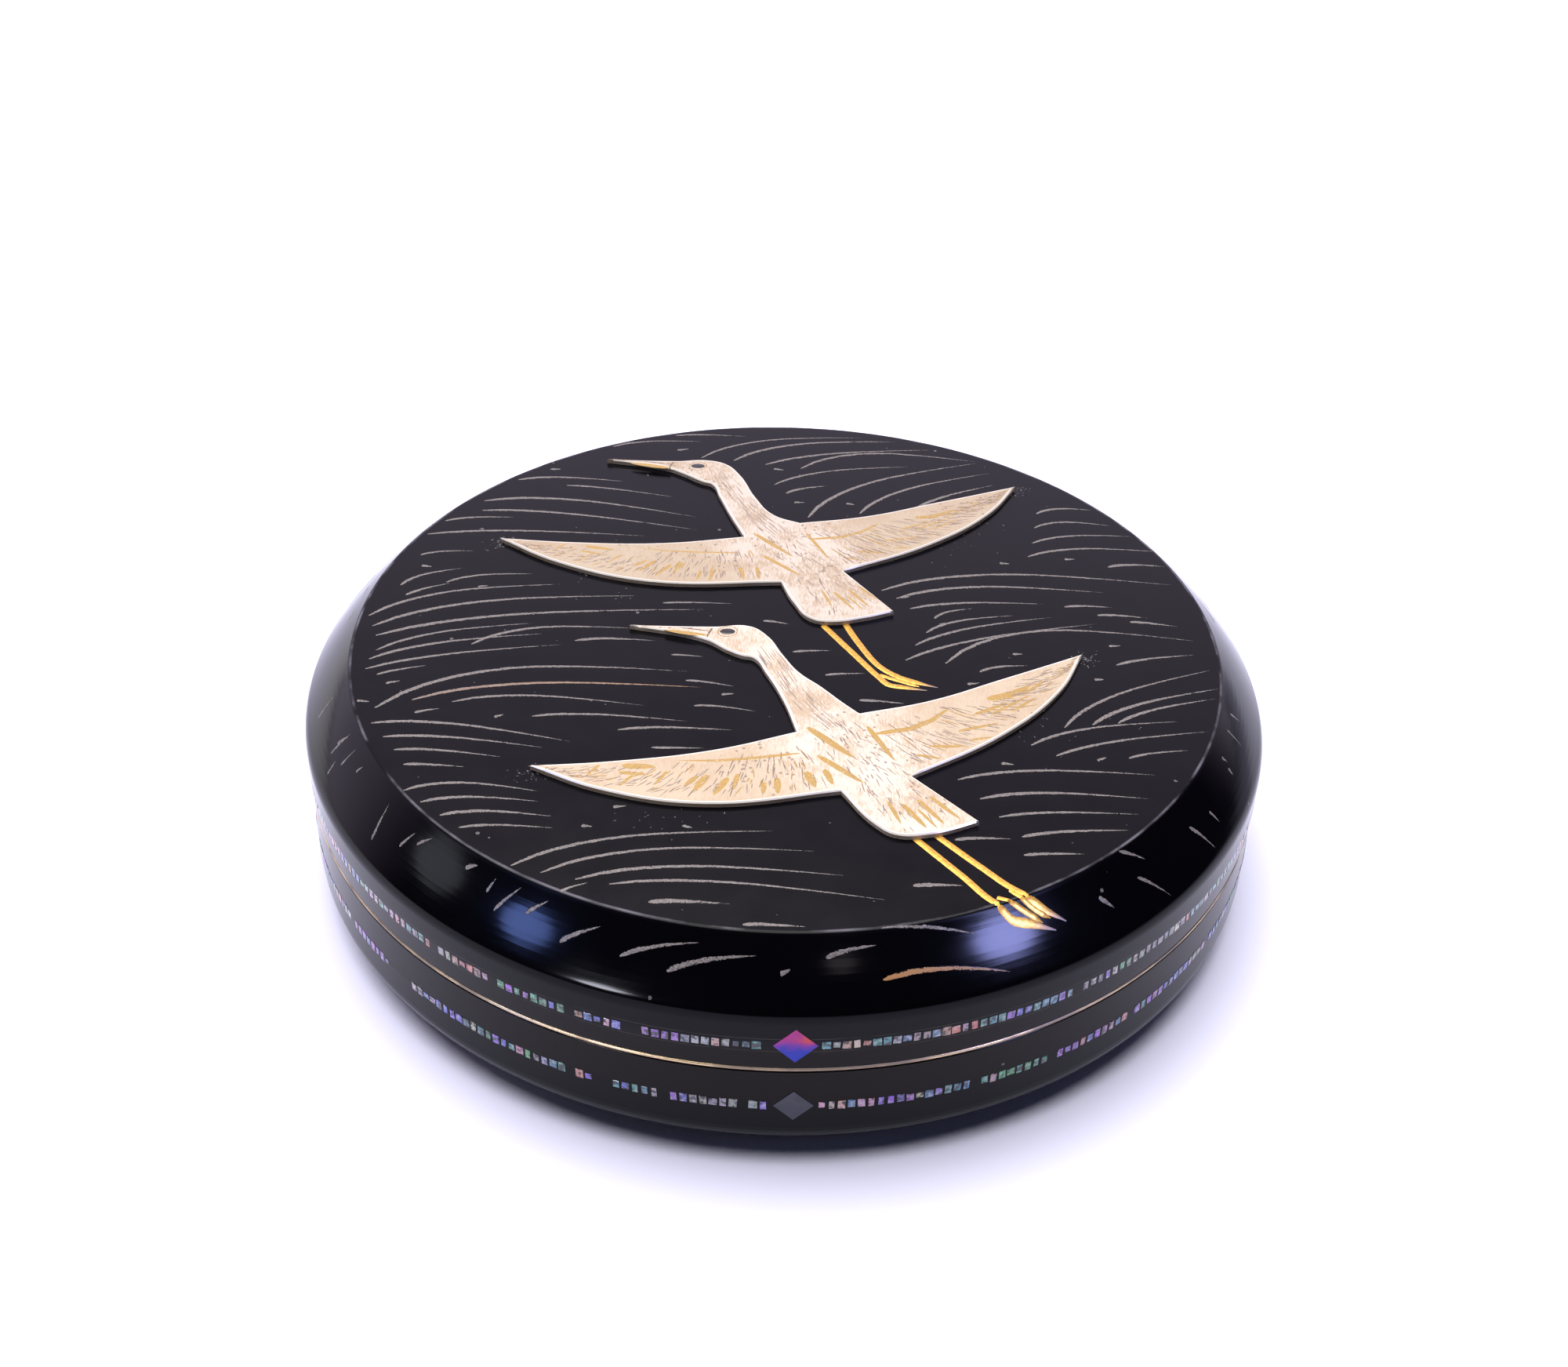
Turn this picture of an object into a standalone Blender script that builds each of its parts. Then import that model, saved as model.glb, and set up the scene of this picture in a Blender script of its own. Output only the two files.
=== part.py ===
"""Round lacquer incense box with a lift-off lid, two silver herons laid on the lid and shell diamonds let into
the wall. Metres, +Z up. The origin is the centre of the underside, and the front is towards -Y."""

import math

import bmesh
import bpy
from mathutils import Matrix, Vector

MM = 0.001

# Outside of the box. The wall leans in a little from its middle to the mouth, in the lid and in the base.
BODY_RADIUS = 40.0 * MM
MOUTH_LEAN = 0.12 * MM
LID_LEAN_HEIGHT = 2.75 * MM
BASE_LEAN_HEIGHT = 3.3 * MM
BASE_HEIGHT = 9.7 * MM
LID_HEIGHT = 9.8 * MM
BEVEL_RUN = 4.0 * MM
BEVEL_DROP = 4.45 * MM
RIDGE_ROUND = 0.35 * MM
SHOULDER_ROUND = 1.8 * MM
EDGE_ROUND = 0.12 * MM

# Walls and the standing lip that the lid fits over
LID_WALL = 2.0 * MM
LID_TOP_THICKNESS = 2.2 * MM
LIP_WALL = 1.2 * MM
LIP_HEIGHT = 2.4 * MM
LIP_CLEARANCE = 0.15 * MM
FLOOR_THICKNESS = 2.2 * MM
INNER_ROUND = 2.4 * MM

# Underside of the base: a flat foot ring, which the belly curves in to
BELLY_RUN = 10.0 * MM
FOOT_WIDTH = 5.0 * MM
FOOT_RECESS = 0.5 * MM
BELLY_HEIGHT = 4.1 * MM
BELLY_FULLNESS = 2.2
BELLY_STEPS = 6

# Metal ring under the lid's edge
RIM_HEIGHT = 0.3 * MM
RIM_PROUD = 0.04 * MM
REST_GAP = 0.06 * MM
GLUE_LINE = 0.03 * MM

# Shell diamonds let into the wall at the front
LID_ROW_ABOVE_MOUTH = 2.75 * MM
BASE_ROW_BELOW_MOUTH = 3.3 * MM
LID_DIAMOND_SIZE = 3.2 * MM
BASE_DIAMOND_SIZE = 2.9 * MM
DIAMOND_DEPTH = 0.45 * MM
DIAMOND_SUNK = 0.03 * MM
DIAMOND_CLEARANCE = 0.04 * MM

# Herons: thin plates on the lid, each in its own frame of ahead and right
PLATE_THICKNESS = 0.5 * MM
PLATE_CHAMFER = 0.12 * MM
HERON_LENGTH = 34.0 * MM
HERON_TURN = math.radians(28.6)
REAR_HERON_CENTRE = (0.5 * MM, 12.2 * MM)
REAR_WING_REACH = 0.640
REAR_SWEEPS = (math.radians(26.6), math.radians(-9.8))
FRONT_HERON_CENTRE = (4.5 * MM, -16.4 * MM)
FRONT_WING_REACH = 0.617
FRONT_SWEEPS = (math.radians(15.9), math.radians(-4.6))
CURVE_RESOLUTION = 4

TURN_STEPS = 72

MOUTH_RADIUS = BODY_RADIUS - MOUTH_LEAN
RIDGE_RADIUS = BODY_RADIUS - BEVEL_RUN
FOOT_RADIUS = BODY_RADIUS - BELLY_RUN
LID_INNER_RADIUS = MOUTH_RADIUS - LID_WALL
LIP_OUTER_RADIUS = LID_INNER_RADIUS - LIP_CLEARANCE
LID_EDGE_Z = BASE_HEIGHT + REST_GAP + RIM_HEIGHT + GLUE_LINE
TOP_Z = BASE_HEIGHT + LID_HEIGHT


def clear_scene():
    for item in list(bpy.data.objects):
        bpy.data.objects.remove(item, do_unlink=True)


def new_collection(name):
    made = bpy.data.collections.new(name)
    bpy.context.scene.collection.children.link(made)
    return made


def finish_material(name, colour, roughness, metallic=0.0, coat=0.0):
    material = bpy.data.materials.new(name)
    material.use_nodes = True
    shader = material.node_tree.nodes["Principled BSDF"]
    shader.inputs["Base Color"].default_value = (*colour, 1.0)
    shader.inputs["Roughness"].default_value = roughness
    shader.inputs["Metallic"].default_value = metallic
    shader.inputs["Coat Weight"].default_value = coat
    return material


def add_object(name, data, collection, material=None):
    item = bpy.data.objects.new(name, data)
    collection.objects.link(item)
    if material:
        data.materials.append(material)
    return item


# Turned pieces
def fillet(before, corner, after, radius, steps=3):
    """Points of an arc that rounds a corner of a profile."""
    to_before = (Vector(before) - Vector(corner)).normalized()
    to_after = (Vector(after) - Vector(corner)).normalized()
    half_angle = to_before.angle(to_after) / 2
    bisector = (to_before + to_after).normalized()
    centre = Vector(corner) + bisector * (radius / math.sin(half_angle))
    start = Vector(corner) + to_before * (radius / math.tan(half_angle)) - centre
    turn = math.pi - 2 * half_angle
    if to_before.x * to_after.y < to_before.y * to_after.x:
        turn = -turn
    points = []
    for step in range(steps + 1):
        arm = Matrix.Rotation(-turn * step / steps, 2) @ start
        points.append(tuple(centre + arm))
    return points


def rounded_profile(corners):
    """A profile from corners of radius, height and rounding. The first and the last corner stay sharp."""
    points = [corners[0][:2]]
    for before, corner, after in zip(corners, corners[1:], corners[2:]):
        if corner[2]:
            points += fillet(before[:2], corner[:2], after[:2], corner[2])
        else:
            points.append(corner[:2])
    points.append(corners[-1][:2])
    return points


def turned(name, points, collection, material, closed=False):
    """A profile of radius and height, turned round the Z axis."""
    edges = [(i, i + 1) for i in range(len(points) - 1)]
    if closed:
        edges.append((len(points) - 1, 0))
    mesh = bpy.data.meshes.new(name)
    mesh.from_pydata([(radius, 0.0, height) for radius, height in points], edges, [])
    item = add_object(name, mesh, collection, material)
    screw = item.modifiers.new("Turn", "SCREW")
    screw.axis = "Z"
    screw.angle = 2 * math.pi
    screw.steps = TURN_STEPS
    screw.render_steps = TURN_STEPS
    screw.use_merge_vertices = True
    screw.merge_threshold = 1e-6
    screw.use_smooth_shade = True
    return item


def lid_profile():
    """Outer side from the flat top down over ridge, bevel and shoulder, then the hollow at an even wall."""
    shoulder_z = TOP_Z - BEVEL_DROP
    roof_z = TOP_Z - LID_TOP_THICKNESS
    slope = Vector((BEVEL_RUN, -BEVEL_DROP)).normalized()
    inside = Vector((RIDGE_RADIUS, TOP_Z)) + LID_WALL * Vector((slope.y, -slope.x))
    roof_radius = inside.x + (roof_z - inside.y) * slope.x / slope.y
    inner_shoulder_z = inside.y + (LID_INNER_RADIUS - inside.x) * slope.y / slope.x
    return rounded_profile([
        (0.0, TOP_Z, 0.0),
        (RIDGE_RADIUS, TOP_Z, RIDGE_ROUND),
        (BODY_RADIUS, shoulder_z, SHOULDER_ROUND),
        (BODY_RADIUS, LID_EDGE_Z + LID_LEAN_HEIGHT, 0.0),
        (MOUTH_RADIUS, LID_EDGE_Z, EDGE_ROUND),
        (LID_INNER_RADIUS, LID_EDGE_Z, 0.0),
        (LID_INNER_RADIUS, inner_shoulder_z, SHOULDER_ROUND),
        (roof_radius, roof_z, SHOULDER_ROUND),
        (0.0, roof_z, 0.0),
    ])


def belly_curve():
    """The wall of the base curving under to its foot, as a full quarter oval."""
    points = []
    for step in range(1, BELLY_STEPS + 1):
        angle = math.pi / 2 * step / BELLY_STEPS
        across = max(math.cos(angle), 0.0) ** (2 / BELLY_FULLNESS)
        down = math.sin(angle) ** (2 / BELLY_FULLNESS)
        radius = FOOT_RADIUS + BELLY_RUN * across
        points.append((radius, BELLY_HEIGHT * (1 - down), 0.0))
    return points


def base_profile():
    """Floor, inner wall and standing lip, then the seat, the outer wall and the foot."""
    floor_z = FOOT_RECESS + FLOOR_THICKNESS
    inner_radius = LIP_OUTER_RADIUS - LIP_WALL
    lip_top = BASE_HEIGHT + LIP_HEIGHT
    foot_inner = FOOT_RADIUS - FOOT_WIDTH
    return rounded_profile([
        (0.0, floor_z, 0.0),
        (inner_radius, floor_z, INNER_ROUND),
        (inner_radius, lip_top, 0.0),
        (LIP_OUTER_RADIUS, lip_top, 2 * EDGE_ROUND),
        (LIP_OUTER_RADIUS, BASE_HEIGHT, 0.0),
        (MOUTH_RADIUS, BASE_HEIGHT, EDGE_ROUND),
        (BODY_RADIUS, BASE_HEIGHT - BASE_LEAN_HEIGHT, 0.0),
        (BODY_RADIUS, BELLY_HEIGHT, 0.0),
        *belly_curve(),
        (foot_inner, 0.0, 0.0),
        (foot_inner - FOOT_RECESS, FOOT_RECESS, 0.0),
        (0.0, FOOT_RECESS, 0.0),
    ])


def rim_profile():
    """Section of the metal ring that edges the lid: flat, with a rounded outer edge that just stands out."""
    bottom = BASE_HEIGHT + REST_GAP
    top = bottom + RIM_HEIGHT
    outer = MOUTH_RADIUS + RIM_PROUD
    loop = [(outer, top), (outer, bottom), (LID_INNER_RADIUS, bottom), (LID_INNER_RADIUS, top)]
    points = fillet(loop[3], loop[0], loop[1], EDGE_ROUND, 2)
    points += fillet(loop[0], loop[1], loop[2], EDGE_ROUND, 2)
    return points + loop[2:]


# Shell diamonds
def diamond_prism(name, size, outer, inner, height, collection, material=None):
    """A square standing on its corner, as a block between two distances in front of the axis."""
    builder = bmesh.new()
    bmesh.ops.create_cone(builder, cap_ends=True, segments=4, radius1=size / 2, radius2=size / 2,
                          depth=outer - inner)
    bmesh.ops.rotate(builder, verts=builder.verts, matrix=Matrix.Rotation(math.pi / 2, 3, "X"))
    mesh = bpy.data.meshes.new(name)
    builder.to_mesh(mesh)
    builder.free()
    item = add_object(name, mesh, collection, material)
    item.location = (0.0, -(outer + inner) / 2, height)
    return item


def inlay_diamond(name, wall, size, height, parts, cutters, material):
    """Cuts a pocket in the wall and lays the shell in it with its clearance."""
    pocket_floor = BODY_RADIUS - DIAMOND_DEPTH
    past_wall = BODY_RADIUS + DIAMOND_DEPTH
    cutter = diamond_prism(name + "_pocket", size, past_wall, pocket_floor, height, cutters)
    cutter.hide_render = True
    cutter.display_type = "WIRE"
    cut = wall.modifiers.new("Pocket", "BOOLEAN")
    cut.operation = "DIFFERENCE"
    cut.solver = "EXACT"
    cut.object = cutter
    face = BODY_RADIUS - DIAMOND_SUNK
    back = pocket_floor + DIAMOND_CLEARANCE
    across = size - 2 * math.sqrt(2) * DIAMOND_CLEARANCE
    return diamond_prism(name, across, face, back, height, parts, material)


# Herons
def heron_outline(wing, left_sweep, right_sweep):
    """Corners and curve points of a flying heron seen from above, as shares of its own length: ahead of the
    shoulders, to its right, and whether the outline turns sharply there."""
    left_tip = (0.13 + wing * math.sin(left_sweep), -0.06 - wing * math.cos(left_sweep))
    right_tip = (0.12 + wing * math.sin(right_sweep), 0.09 + wing * math.cos(right_sweep))
    left_front, left_back = (0.128, -0.064), (-0.105, -0.085)
    right_front, right_back = (0.120, 0.100), (-0.135, 0.082)
    beak_tip = (0.695, -0.205)

    def along(start, end, share, bow):
        """A point on the way between two others, moved sideways by a share of the distance."""
        run = Vector(end) - Vector(start)
        spot = Vector(start) + run * share + Vector((-run.y, run.x)) * bow
        return (spot.x, spot.y, False)

    return [
        (*beak_tip, True),
        (0.555, -0.066, False),
        (0.470, -0.030, False),
        (0.430, -0.004, False),
        (0.280, -0.022, False),
        (*left_front, True),
        along(left_front, left_tip, 0.33, -0.045),
        along(left_front, left_tip, 0.70, -0.035),
        (*left_tip, True),
        along(left_back, left_tip, 0.76, -0.090),
        along(left_back, left_tip, 0.42, -0.118),
        (*left_back, True),
        (-0.240, -0.080, False),
        (-0.292, -0.046, False),
        (-0.336, 0.070, False),
        (-0.335, 0.122, False),
        (*right_back, True),
        along(right_back, right_tip, 0.40, 0.085),
        along(right_back, right_tip, 0.75, 0.078),
        (*right_tip, True),
        along(right_front, right_tip, 0.62, 0.020),
        along(right_front, right_tip, 0.28, 0.034),
        (*right_front, True),
        (0.245, 0.066, False),
        (0.400, 0.080, False),
        (0.500, 0.088, False),
        (0.562, 0.056, False),
        (0.588, -0.028, False),
    ]


def heron_plate(name, outline, centre, parts, material):
    """A flat plate of the outline with a chamfered upper edge, laid on the lid."""
    curve = bpy.data.curves.new(name + "_outline", "CURVE")
    curve.dimensions = "2D"
    curve.fill_mode = "BOTH"
    curve.extrude = (PLATE_THICKNESS - PLATE_CHAMFER) / 2
    curve.resolution_u = CURVE_RESOLUTION
    spline = curve.splines.new("BEZIER")
    spline.bezier_points.add(len(outline) - 1)
    spline.use_cyclic_u = True
    for point, (ahead, right, sharp) in zip(spline.bezier_points, outline):
        point.co = (right * HERON_LENGTH, ahead * HERON_LENGTH, 0.0)
        point.handle_left_type = "VECTOR" if sharp else "AUTO"
        point.handle_right_type = "VECTOR" if sharp else "AUTO"
    guide = bpy.data.objects.new(name + "_guide", curve)
    parts.objects.link(guide)
    mesh = bpy.data.meshes.new_from_object(guide.evaluated_get(bpy.context.evaluated_depsgraph_get()))
    bpy.data.objects.remove(guide, do_unlink=True)

    builder = bmesh.new()
    builder.from_mesh(mesh)
    bmesh.ops.remove_doubles(builder, verts=builder.verts, dist=1e-6)
    upper = [face for face in builder.faces if face.normal.z > 0.9]
    bmesh.ops.inset_region(builder, faces=upper, thickness=PLATE_CHAMFER, use_even_offset=True)
    raised = {vertex for face in upper for vertex in face.verts}
    bmesh.ops.translate(builder, verts=list(raised), vec=(0.0, 0.0, PLATE_CHAMFER))
    builder.to_mesh(mesh)
    builder.free()

    mesh.name = name
    mesh.materials.clear()
    item = add_object(name, mesh, parts, material)
    lift = TOP_Z + GLUE_LINE + (PLATE_THICKNESS - PLATE_CHAMFER) / 2
    item.location = (centre[0], centre[1], lift)
    item.rotation_euler = (0.0, 0.0, HERON_TURN)
    return item


def build():
    clear_scene()
    parts = new_collection("lacquer_incense_box")
    cutters = new_collection("cutters")
    lacquer = finish_material("black_lacquer", (0.006, 0.006, 0.009), 0.12, coat=1.0)
    metal = finish_material("rim_metal", (0.62, 0.52, 0.36), 0.3, metallic=1.0)
    silver = finish_material("engraved_silver", (0.80, 0.72, 0.60), 0.35, metallic=0.6)
    shell = finish_material("shell", (0.45, 0.42, 0.50), 0.2, coat=0.6)

    base = turned("base", base_profile(), parts, lacquer)
    lid = turned("lid", lid_profile(), parts, lacquer)
    turned("mouth_rim", rim_profile(), parts, metal, closed=True)

    inlay_diamond("lid_diamond", lid, LID_DIAMOND_SIZE, BASE_HEIGHT + LID_ROW_ABOVE_MOUTH,
                  parts, cutters, shell)
    inlay_diamond("base_diamond", base, BASE_DIAMOND_SIZE, BASE_HEIGHT - BASE_ROW_BELOW_MOUTH,
                  parts, cutters, shell)

    rear = heron_outline(REAR_WING_REACH, *REAR_SWEEPS)
    heron_plate("rear_heron", rear, REAR_HERON_CENTRE, parts, silver)
    front = heron_outline(FRONT_WING_REACH, *FRONT_SWEEPS)
    heron_plate("front_heron", front, FRONT_HERON_CENTRE, parts, silver)


build()
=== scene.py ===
# %% [markdown]
# # A lacquer incense box with two silver herons
# The box is turned wood under many coats of black lacquer. Two silver herons are laid on the lid, silver
# powder is sprinkled round them in brush strokes, and two rows of shell squares run round the wall. The
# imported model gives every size, and this lesson dresses it: fine meshes first, then their finishes, then
# the light.

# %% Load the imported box
import math
import random

import bpy
import numpy as np
from mathutils import Matrix, Vector


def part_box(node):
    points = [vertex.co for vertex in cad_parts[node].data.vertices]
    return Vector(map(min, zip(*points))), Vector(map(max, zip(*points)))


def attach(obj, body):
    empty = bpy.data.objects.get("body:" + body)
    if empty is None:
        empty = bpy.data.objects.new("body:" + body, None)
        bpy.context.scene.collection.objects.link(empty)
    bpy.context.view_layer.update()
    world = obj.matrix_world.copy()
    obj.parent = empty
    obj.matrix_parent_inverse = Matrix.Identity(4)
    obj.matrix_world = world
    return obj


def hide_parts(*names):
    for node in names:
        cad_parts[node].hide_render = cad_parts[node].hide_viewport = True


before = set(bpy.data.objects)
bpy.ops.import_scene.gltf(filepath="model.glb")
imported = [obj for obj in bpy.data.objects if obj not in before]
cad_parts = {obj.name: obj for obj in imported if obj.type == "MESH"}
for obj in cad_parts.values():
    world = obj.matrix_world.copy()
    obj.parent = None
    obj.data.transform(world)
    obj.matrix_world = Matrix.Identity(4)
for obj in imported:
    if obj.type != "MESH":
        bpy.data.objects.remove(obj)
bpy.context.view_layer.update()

# %% [markdown]
# ## Sizes
# What the frame can tell is read from it: the radius, the heights of mouth and top, the metal ring. The
# rounding of ridge and shoulder and the walls are the design's own values. The lacquer is drawn a hair
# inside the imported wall, so that shell and powder, which stand a little proud of it, still end at the
# real radius.

# %% Read the sizes
MM = 0.001
_, base_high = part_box("base")
lid_low, lid_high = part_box("lid")
ring_low, ring_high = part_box("mouth_rim")

SHELL_PROUD = 0.025 * MM
WALL_RADIUS = lid_high.x - SHELL_PROUD
TOP_Z = lid_high.z
LID_EDGE_Z = lid_low.z
BASE_HEIGHT = 9.7 * MM
MOUTH_LEAN = 0.12 * MM
MOUTH_RADIUS = WALL_RADIUS - MOUTH_LEAN
LID_LEAN_HEIGHT = 2.75 * MM
BASE_LEAN_HEIGHT = 3.3 * MM
BEVEL_RUN = 4.0 * MM
BEVEL_DROP = 4.45 * MM
RIDGE_RADIUS = WALL_RADIUS - BEVEL_RUN
RIDGE_ROUND = 0.35 * MM
SHOULDER_ROUND = 1.8 * MM
EDGE_ROUND = 0.12 * MM
LID_WALL = 2.0 * MM
LID_TOP_THICKNESS = 2.2 * MM
LIP_WALL = 1.2 * MM
LIP_CLEARANCE = 0.15 * MM
INNER_ROUND = 2.4 * MM
LIP_TOP_Z = base_high.z
FLOOR_Z = 2.7 * MM
FOOT_RADIUS = 30.0 * MM
FOOT_WIDTH = 5.0 * MM
FOOT_RECESS = 0.5 * MM
BELLY_HEIGHT = 4.1 * MM
BELLY_FULLNESS = 2.2
LID_ROW_Z = BASE_HEIGHT + 2.75 * MM
BASE_ROW_Z = BASE_HEIGHT - 3.3 * MM
print("wall radius %.3f mm, top at %.2f mm" % (WALL_RADIUS / MM, TOP_Z / MM))

# %% [markdown]
# ## Working by hand, in code
# Operators act on all that is selected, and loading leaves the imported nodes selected. So each piece
# starts with everything deselected, and it ends with its place in its mesh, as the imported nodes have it.

# %% Helpers for every piece
def deselect_all():
    for item in list(bpy.context.selected_objects):
        item.select_set(False)


def select_only(item):
    deselect_all()
    item.select_set(True)
    bpy.context.view_layer.objects.active = item


def edit(item):
    select_only(item)
    bpy.ops.object.mode_set(mode="EDIT")


def leave_edit():
    bpy.ops.object.mode_set(mode="OBJECT")


def face_outwards(item):
    edit(item)
    bpy.ops.mesh.select_all(action="SELECT")
    bpy.ops.mesh.normals_make_consistent(inside=False)
    leave_edit()


def settle(item, material, smooth_angle=35.0):
    """Applies the place, shades the piece, gives it its material and lets it ride on the box."""
    select_only(item)
    bpy.ops.object.transform_apply(location=True, rotation=True, scale=True)
    bpy.ops.object.shade_smooth_by_angle(angle=math.radians(smooth_angle))
    item.data.materials.clear()
    item.data.materials.append(material)
    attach(item, "root")
    print("%s: %d faces" % (item.name, len(item.data.polygons)))
    return item


print("piece helpers ready")

# %% [markdown]
# The finer shapes are worked out as rows of points. These helpers read the points of a mesh, move them,
# copy a piece with its points moved, and give a mesh named numbers that its material can read.

# %% Helpers for meshes
def points_of(item):
    flat = np.zeros(len(item.data.vertices) * 3, np.float32)
    item.data.vertices.foreach_get("co", flat)
    return flat.reshape(-1, 3).astype(float)


def move_points(item, places):
    item.data.vertices.foreach_set("co", places.astype(np.float32).ravel())


def copy_of(item, places):
    """A copy with a mesh of its own, its points moved."""
    made = item.copy()
    made.data = item.data.copy()
    move_points(made, places)
    bpy.context.scene.collection.objects.link(made)
    return made


def set_numbers(item, name, values, domain="POINT"):
    made = item.data.attributes.new(name, "FLOAT", domain)
    made.data.foreach_set("value", values.astype(np.float32))


print("mesh helpers ready")

# %% [markdown]
# ## Shader nodes in few words
# Each finish is a small network of nodes. `add_node` places one node and sets or links its inputs. A
# group holds an effect that several finishes share, and it puts out only masks and heights.

# %% Helpers for materials
def add_node(tree, kind, inputs=None, **settings):
    made = tree.nodes.new(kind)
    for name, value in settings.items():
        setattr(made, name, value)
    for socket, value in (inputs or {}).items():
        if isinstance(value, bpy.types.NodeSocket):
            tree.links.new(value, made.inputs[socket])
        else:
            made.inputs[socket].default_value = value
    return made


def calc(tree, operation, first, second=0.0):
    return add_node(tree, "ShaderNodeMath", {0: first, 1: second}, operation=operation).outputs[0]


def plus(tree, first, second):
    return calc(tree, "ADD", first, second)


def minus(tree, first, second):
    return calc(tree, "SUBTRACT", first, second)


def times(tree, first, second):
    return calc(tree, "MULTIPLY", first, second)


def split(tree, vector):
    """The three coordinates of a vector."""
    return add_node(tree, "ShaderNodeSeparateXYZ", {0: vector}).outputs


def attribute(tree, name):
    """A number that the mesh carries on its points or faces."""
    return add_node(tree, "ShaderNodeAttribute", attribute_name=name).outputs["Fac"]


def fade(tree, value, start, end, low=0.0, high=1.0):
    """A smooth step: low before start, high after end."""
    made = add_node(tree, "ShaderNodeMapRange", {"Value": value, "From Min": start, "From Max": end,
                                                 "To Min": low, "To Max": high})
    made.interpolation_type = "SMOOTHSTEP"
    return made.outputs["Result"]


def blend_colours(tree, factor, first, second, blend_type="MIX"):
    made = add_node(tree, "ShaderNodeMix", {"Factor": factor}, data_type="RGBA", blend_type=blend_type)
    for socket, colour in ((made.inputs[6], first), (made.inputs[7], second)):
        if isinstance(colour, bpy.types.NodeSocket):
            tree.links.new(colour, socket)
        else:
            socket.default_value = (*colour, 1.0)
    return made.outputs[2]


def noise(tree, vector, scale, detail=2.0, roughness=0.5):
    return add_node(tree, "ShaderNodeTexNoise", {"Vector": vector, "Scale": scale, "Detail": detail,
                                                 "Roughness": roughness}).outputs["Fac"]


def place(tree):
    return add_node(tree, "ShaderNodeTexCoord").outputs["Object"]


def stretched(tree, vector, scale, turn=0.0):
    """The same coordinates, turned about the upright axis and stretched, in a Mapping node."""
    return add_node(tree, "ShaderNodeMapping", {"Vector": vector, "Rotation": (0.0, 0.0, turn),
                                                "Scale": scale}).outputs["Vector"]


print("node helpers ready")

# %% [markdown]
# A material starts from its constants, and node outputs are then fed into its shader. A group has named
# inputs and outputs of its own.

# %% Helpers for shaders and groups
def new_material(name, roughness, metallic=0.0, **fixed):
    """A material whose Principled shader has these constants, with names as on the shader."""
    material = bpy.data.materials.new(name)
    material.use_nodes = True
    shader = material.node_tree.nodes["Principled BSDF"]
    shader.inputs["Roughness"].default_value = roughness
    shader.inputs["Metallic"].default_value = metallic
    for socket, value in fixed.items():
        shader.inputs[socket.replace("_", " ")].default_value = value
    return material, material.node_tree, shader


def feed(shader, socket, value):
    """Links a node's output into the shader."""
    shader.id_data.links.new(value, shader.inputs[socket])


def bump(tree, height, depth, strength=1.0):
    """A normal from a height between 0 and 1, which stands for a real depth in metres."""
    return add_node(tree, "ShaderNodeBump", {"Height": height, "Distance": depth,
                                             "Strength": strength}).outputs["Normal"]


def feed_surface(shader, colour, height, depth, strength):
    """The colour and the fine relief, which every finish has."""
    feed(shader, "Base Color", colour)
    feed(shader, "Normal", bump(shader.id_data, height, depth, strength))


def new_group(name, inputs, outputs):
    group = bpy.data.node_groups.new(name, "ShaderNodeTree")
    for socket, value in inputs.items():
        made = group.interface.new_socket(socket, in_out="INPUT", socket_type="NodeSocketFloat")
        made.default_value = value
    for socket in outputs:
        group.interface.new_socket(socket, in_out="OUTPUT", socket_type="NodeSocketFloat")
    return group, group.nodes.new("NodeGroupInput"), group.nodes.new("NodeGroupOutput")


def use_group(tree, group, **inputs):
    made = tree.nodes.new("ShaderNodeGroup")
    made.node_tree = group
    for socket, value in inputs.items():
        made.inputs[socket].default_value = value
    return made.outputs


print("shader helpers ready")

# %% [markdown]
# ## Shared effects
# Polishing round the box leaves hair-fine rings. Their height is a noise of radius and height above the
# table that hardly changes with the angle. The angle itself jumps behind the box, so its sine and cosine
# stand for it. Handling leaves tiny specks of dust, which a cell pattern thins out by a noise.

# %% Node groups for turning marks, dust and powder
def make_turning_marks():
    group, given, out = new_group("turning_marks", {"Fineness": 6000.0, "Run": 6.0}, ["Height", "Radius"])
    across, depth, up = split(group, place(group))
    square = plus(group, times(group, across, across), times(group, depth, depth))
    radius = calc(group, "SQRT", calc(group, "MAXIMUM", square, 1e-10))
    run = given.outputs["Run"]
    cosine = times(group, calc(group, "DIVIDE", across, radius), run)
    sine = times(group, calc(group, "DIVIDE", depth, radius), run)
    ring = times(group, minus(group, radius, up), given.outputs["Fineness"])
    vector = add_node(group, "ShaderNodeCombineXYZ", {0: cosine, 1: sine, 2: ring}).outputs[0]
    group.links.new(noise(group, vector, 1.0, 3.0), out.inputs["Height"])
    group.links.new(radius, out.inputs["Radius"])
    return group


def make_dust():
    group, given, out = new_group("dust", {"Cells": 900.0, "Size": 0.16, "Amount": 0.5}, ["Mask"])
    cells = add_node(group, "ShaderNodeTexVoronoi", {"Vector": place(group), "Scale": given.outputs["Cells"]})
    near = calc(group, "LESS_THAN", cells.outputs["Distance"], given.outputs["Size"])
    patches = calc(group, "GREATER_THAN", given.outputs["Amount"], noise(group, place(group), 160.0, 3.0))
    group.links.new(times(group, near, patches), out.inputs["Mask"])
    return group


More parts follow.
